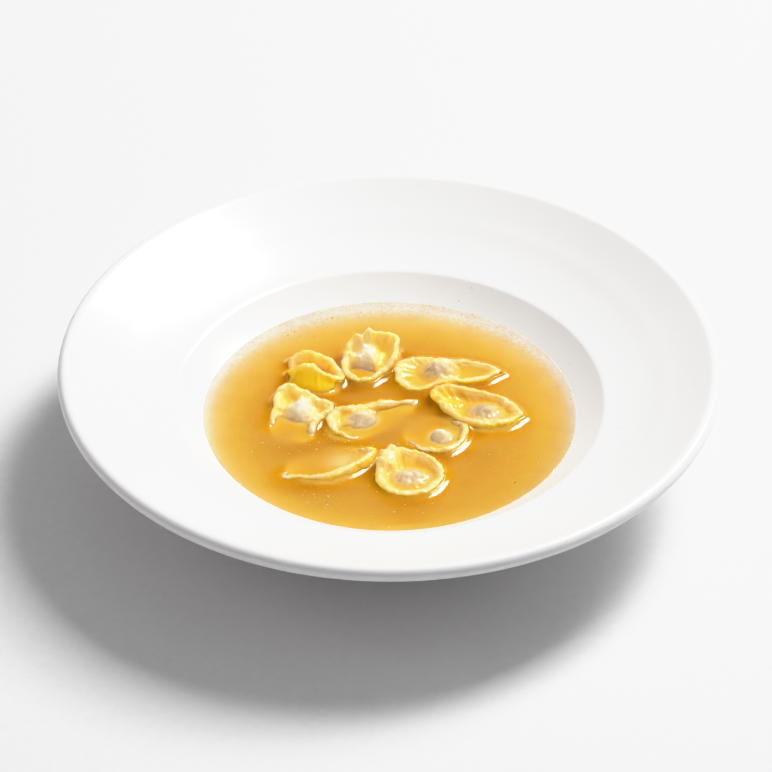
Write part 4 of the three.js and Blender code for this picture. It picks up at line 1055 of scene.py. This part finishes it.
def make_small_things(broth, shapes):
    """Droplets of fat on the broth, fine scum at its edge, and a few specks of pepper."""
    rng = np.random.default_rng(41)
    sheet = [tuple(v.co / MM) for v in broth.data.vertices]
    tree = BVHTree.FromPolygons(sheet, [tuple(p.vertices) for p in broth.data.polygons])
    dough = [(points.min(0), points.max(0), BVHTree.FromPolygons(points.tolist(), faces)) for _, points, faces, _, _ in shapes]

    def surface(x, y):
        down = Vector((0, 0, -1))
        hit = tree.ray_cast(Vector((x, y, 60.0)), down, 100)
        if hit[0] is None or hit[1].z < 0.93:
            return None
        for low, high, bvh in dough:
            if low[0] < x < high[0] and low[1] < y < high[1]:
                over = bvh.ray_cast(Vector((x, y, 60.0)), down, 100)
                if over[0] is not None and over[0].z > hit[0].z - 0.4:
                    return None
        return hit[0].z

    fat = []
    for cx, cy, wide_x, wide_y, count in (
        (-27.0, -22.0, 17.0, 7.0, 38), (-22.0, -52.0, 20.0, 9.0, 46), (8.0, -62.0, 22.0, 5.0, 18), (-50.0, -18.0, 10.0, 18.0, 22),
        (44.0, -34.0, 16.0, 14.0, 16), (0.0, 56.0, 34.0, 7.0, 18), (54.0, 20.0, 9.0, 20.0, 10), (-4.0, -20.0, 12.0, 5.0, 10),
    ):
        for _ in range(count):
            x, y = cx + wide_x * rng.normal() * 0.6, cy + wide_y * rng.normal() * 0.6
            radius = 0.18 + 0.5 * rng.random() ** 2.4
            tint = rng.random()
            z = surface(x, y) if math.hypot(x, y) < 71 else None
            if z is not None:
                fat.append((x, y, z, radius, 0.16 * radius + 0.02, tint))
    points, faces, shade = domes(fat, 14)
    drops = make("fat_droplets", points, faces, None, {"tint": shade})
    n = Nodes("pale_fat")
    n.surface(
        Base_Color=n.ramp(n.value("tint"), [(0.0, (0.75, 0.42, 0.08)), (0.7, (0.80, 0.49, 0.12)), (1.0, (0.88, 0.61, 0.23))]),
        Roughness=0.12, IOR=1.45, Subsurface_Weight=0.4, Subsurface_Radius=(1.0, 0.6, 0.2), Subsurface_Scale=0.002,
    )
    drops.data.materials.append(n.material)

    scum = []
    edge_r = WELL_MOUTH_R * ((BROTH_Z + EDGE_CLIMB - WELL_FLOOR_Z) / (WELL_MOUTH_Z - WELL_FLOOR_Z)) ** (1 / WELL_POWER)
    for _ in range(700):
        a = math.radians(90 + 68 * rng.normal() * 0.6) if rng.random() < 0.85 else TAU * rng.random()
        r = edge_r - 0.3 - abs(rng.normal()) * 2.4 * max(0.3, math.sin(a))
        radius = 0.10 + 0.24 * rng.random() ** 2
        tint = rng.random()
        x, y = r * math.cos(a), r * math.sin(a)
        z = surface(x, y)
        if z is not None:
            scum.append((x, y, z, radius, 0.4 * radius, tint))
    points, faces, shade = domes(scum, 8, 2)
    foam = make("fine_scum", points, faces, None, {"tint": shade})
    n = Nodes("pale_scum")
    n.surface(Base_Color=n.ramp(n.value("tint"), [(0.0, (0.62, 0.36, 0.13)), (0.35, (0.78, 0.58, 0.33)), (0.75, (0.86, 0.76, 0.60)), (1.0, (0.93, 0.90, 0.84))]), Roughness=0.35)
    foam.data.materials.append(n.material)

    pepper = []
    for x, y, radius in ((50.2, -45.9, 0.42), (-70.2, 21.0, 0.24), (73.2, -20.9, 0.26), (23.0, 72.4, 0.24), (36.0, -58.0, 0.2), (-46.0, -40.0, 0.18), (58.0, 12.0, 0.18)):
        z = surface(x, y)
        if z is not None:
            pepper.append((x, y, z, radius, 0.45 * radius, rng.random()))
    for x, y in ((29.4, 74.4), (35.0, 78.1)):
        pepper.append((x, y, float(well_z(math.hypot(x, y))) - 0.05, 0.22, 0.12, rng.random()))
    points, faces, shade = domes(pepper, 10)
    grains = make("pepper_specks", points, faces, None, {"tint": shade})
    n = Nodes("brown_pepper")
    n.surface(Base_Color=n.ramp(n.value("tint"), [(0.0, (0.20, 0.09, 0.03)), (1.0, (0.42, 0.21, 0.07))]), Roughness=0.5)
    grains.data.materials.append(n.material)


# ------------------------------------------------------------------ build
plate = make_plate()
dough = dough_material()
shapes = make_tortellini(dough)
broth, level_r = make_broth(shapes)
make_small_things(broth, shapes)

# ------------------------------------------------------------------ floor, light and camera
floor_mesh = bpy.data.meshes.new("floor")
floor_mesh.from_pydata([(-4, -4, 0), (4, -4, 0), (4, 4, 0), (-4, 4, 0)], [], [(0, 1, 2, 3)])
floor = bpy.data.objects.new("floor", floor_mesh)
bpy.context.scene.collection.objects.link(floor)
n = Nodes("pale_floor")
cloth = n.noise(260, 4, 0.6)
n.surface(
    Base_Color=n.ramp(cloth, [(0.3, (0.81, 0.804, 0.808)), (0.7, (0.84, 0.835, 0.841))]),
    Roughness=0.75,
    Normal=n.bump(cloth, 0.12, 0.0006),
)
floor_mesh.materials.append(n.material)

scene = bpy.context.scene
world = bpy.data.worlds.new("studio")
scene.world = world
world.use_nodes = True
w = world.node_tree
way = w.nodes.new("ShaderNodeTexCoord")
split = w.nodes.new("ShaderNodeSeparateXYZ")
w.links.new(way.outputs["Generated"], split.inputs[0])
sky = w.nodes.new("ShaderNodeValToRGB")
sky.color_ramp.elements[0].position, sky.color_ramp.elements[0].color = 0.0, (0.055, 0.046, 0.040, 1)
sky.color_ramp.elements[1].position, sky.color_ramp.elements[1].color = 1.0, (0.65, 0.67, 0.70, 1)
for position, level in ((0.42, 0.065), (0.72, 0.23)):
    sky.color_ramp.elements.new(position).color = (level, level, level, 1)
w.links.new(split.outputs["Z"], sky.inputs[0])
toward = w.nodes.new("ShaderNodeMath")
toward.operation = "MULTIPLY_ADD"
w.links.new(split.outputs["Y"], toward.inputs[0])
toward.inputs[1].default_value = -0.08
toward.inputs[2].default_value = 1.0
w.links.new(sky.outputs[0], w.nodes["Background"].inputs[0])
aside = w.nodes.new("ShaderNodeMath")
aside.operation = "MULTIPLY_ADD"
w.links.new(split.outputs["X"], aside.inputs[0])
aside.inputs[1].default_value = 0.26
w.links.new(toward.outputs[0], aside.inputs[2])
w.links.new(aside.outputs[0], w.nodes["Background"].inputs[1])

KEY_ELEVATION, KEY_AZIMUTH = math.radians(52), math.radians(41)
TO_LIGHT = Vector(
    (
        math.cos(KEY_ELEVATION) * math.cos(KEY_AZIMUTH),
        math.cos(KEY_ELEVATION) * math.sin(KEY_AZIMUTH),
        math.sin(KEY_ELEVATION),
    )
)
key_data = bpy.data.lights.new("key", "AREA")
key_data.shape = "RECTANGLE"
key_data.size = 0.72
key_data.size_y = 1.15
key_data.energy = 52.5
key_data.color = (1.0, 0.995, 0.985)
key = bpy.data.objects.new("key", key_data)
key.location = Vector((0, 0, 0.03)) + TO_LIGHT * 2.2
key.rotation_mode = "QUATERNION"
key.rotation_quaternion = TO_LIGHT.to_track_quat("Z", "Y")
scene.collection.objects.link(key)

# The middle of the window is brighter, which only shows in wet and glazed surfaces.
spark_data = bpy.data.lights.new("spark", "AREA")
spark_data.shape = "RECTANGLE"
spark_data.size = 0.5
spark_data.size_y = 0.95
spark_data.energy = 26.0
spark = bpy.data.objects.new("spark", spark_data)
spark.location = key.location - TO_LIGHT * 0.02
spark.rotation_mode = "QUATERNION"
spark.rotation_quaternion = key.rotation_quaternion
spark.visible_diffuse = False
scene.collection.objects.link(spark)

fill_data = bpy.data.lights.new("fill", "AREA")
fill_data.shape = "DISK"
fill_data.size = 1.6
fill_data.energy = 6.6
fill_data.color = (1.0, 0.95, 0.92)
fill = bpy.data.objects.new("fill", fill_data)
to_fill = Vector((-0.75, -0.3, 0.62)).normalized()
fill.location = Vector((0, 0, 0.03)) + to_fill * 2.4
fill.rotation_mode = "QUATERNION"
fill.rotation_quaternion = to_fill.to_track_quat("Z", "Y")
fill.visible_glossy = False
scene.collection.objects.link(fill)

camera_data = bpy.data.cameras.new("camera")
camera_data.lens = 171.9
camera_data.sensor_width = 36.0
camera = bpy.data.objects.new("camera", camera_data)
scene.collection.objects.link(camera)
forward = Vector((-0.001058, 0.794947, -0.606678)).normalized()
right = forward.cross(Vector((0, 0, 1))).normalized()
up = right.cross(forward)
camera.matrix_world = Matrix(
    (
        (right.x, up.x, -forward.x, 0.0),
        (right.y, up.y, -forward.y, -1.197953),
        (right.z, up.z, -forward.z, 0.952723),
        (0, 0, 0, 1),
    )
)
camera_data.clip_start, camera_data.clip_end = 0.05, 20
scene.camera = camera

scene.view_settings.view_transform = "Standard"
scene.view_settings.look = "None"
# A camera's soft shoulder: whites close up below pure white, and the darks go a little deeper.
scene.view_settings.use_curve_mapping = True
tone = scene.view_settings.curve_mapping
tone.white_level = (1.4, 1.4, 1.4)
curve = tone.curves[3]
while len(curve.points) > 2:
    curve.points.remove(curve.points[1])
curve.points[0].location = (0.0, 0.0)
curve.points[1].location = (1.0, 0.98)
for level, shown in ((0.012, 0.004), (0.03, 0.0155), (0.1, 0.075), (0.2, 0.165), (0.35, 0.32), (0.5, 0.49), (0.7, 0.72), (0.85, 0.865), (1.0, 0.925), (1.2, 0.95)):
    curve.points.new(level / 1.4, shown)
tone.update()
scene.cycles.use_denoising = True
scene.cycles.max_bounces = 10
scene.cycles.caustics_reflective = False
scene.cycles.caustics_refractive = False
scene.cycles.transparent_max_bounces = 12
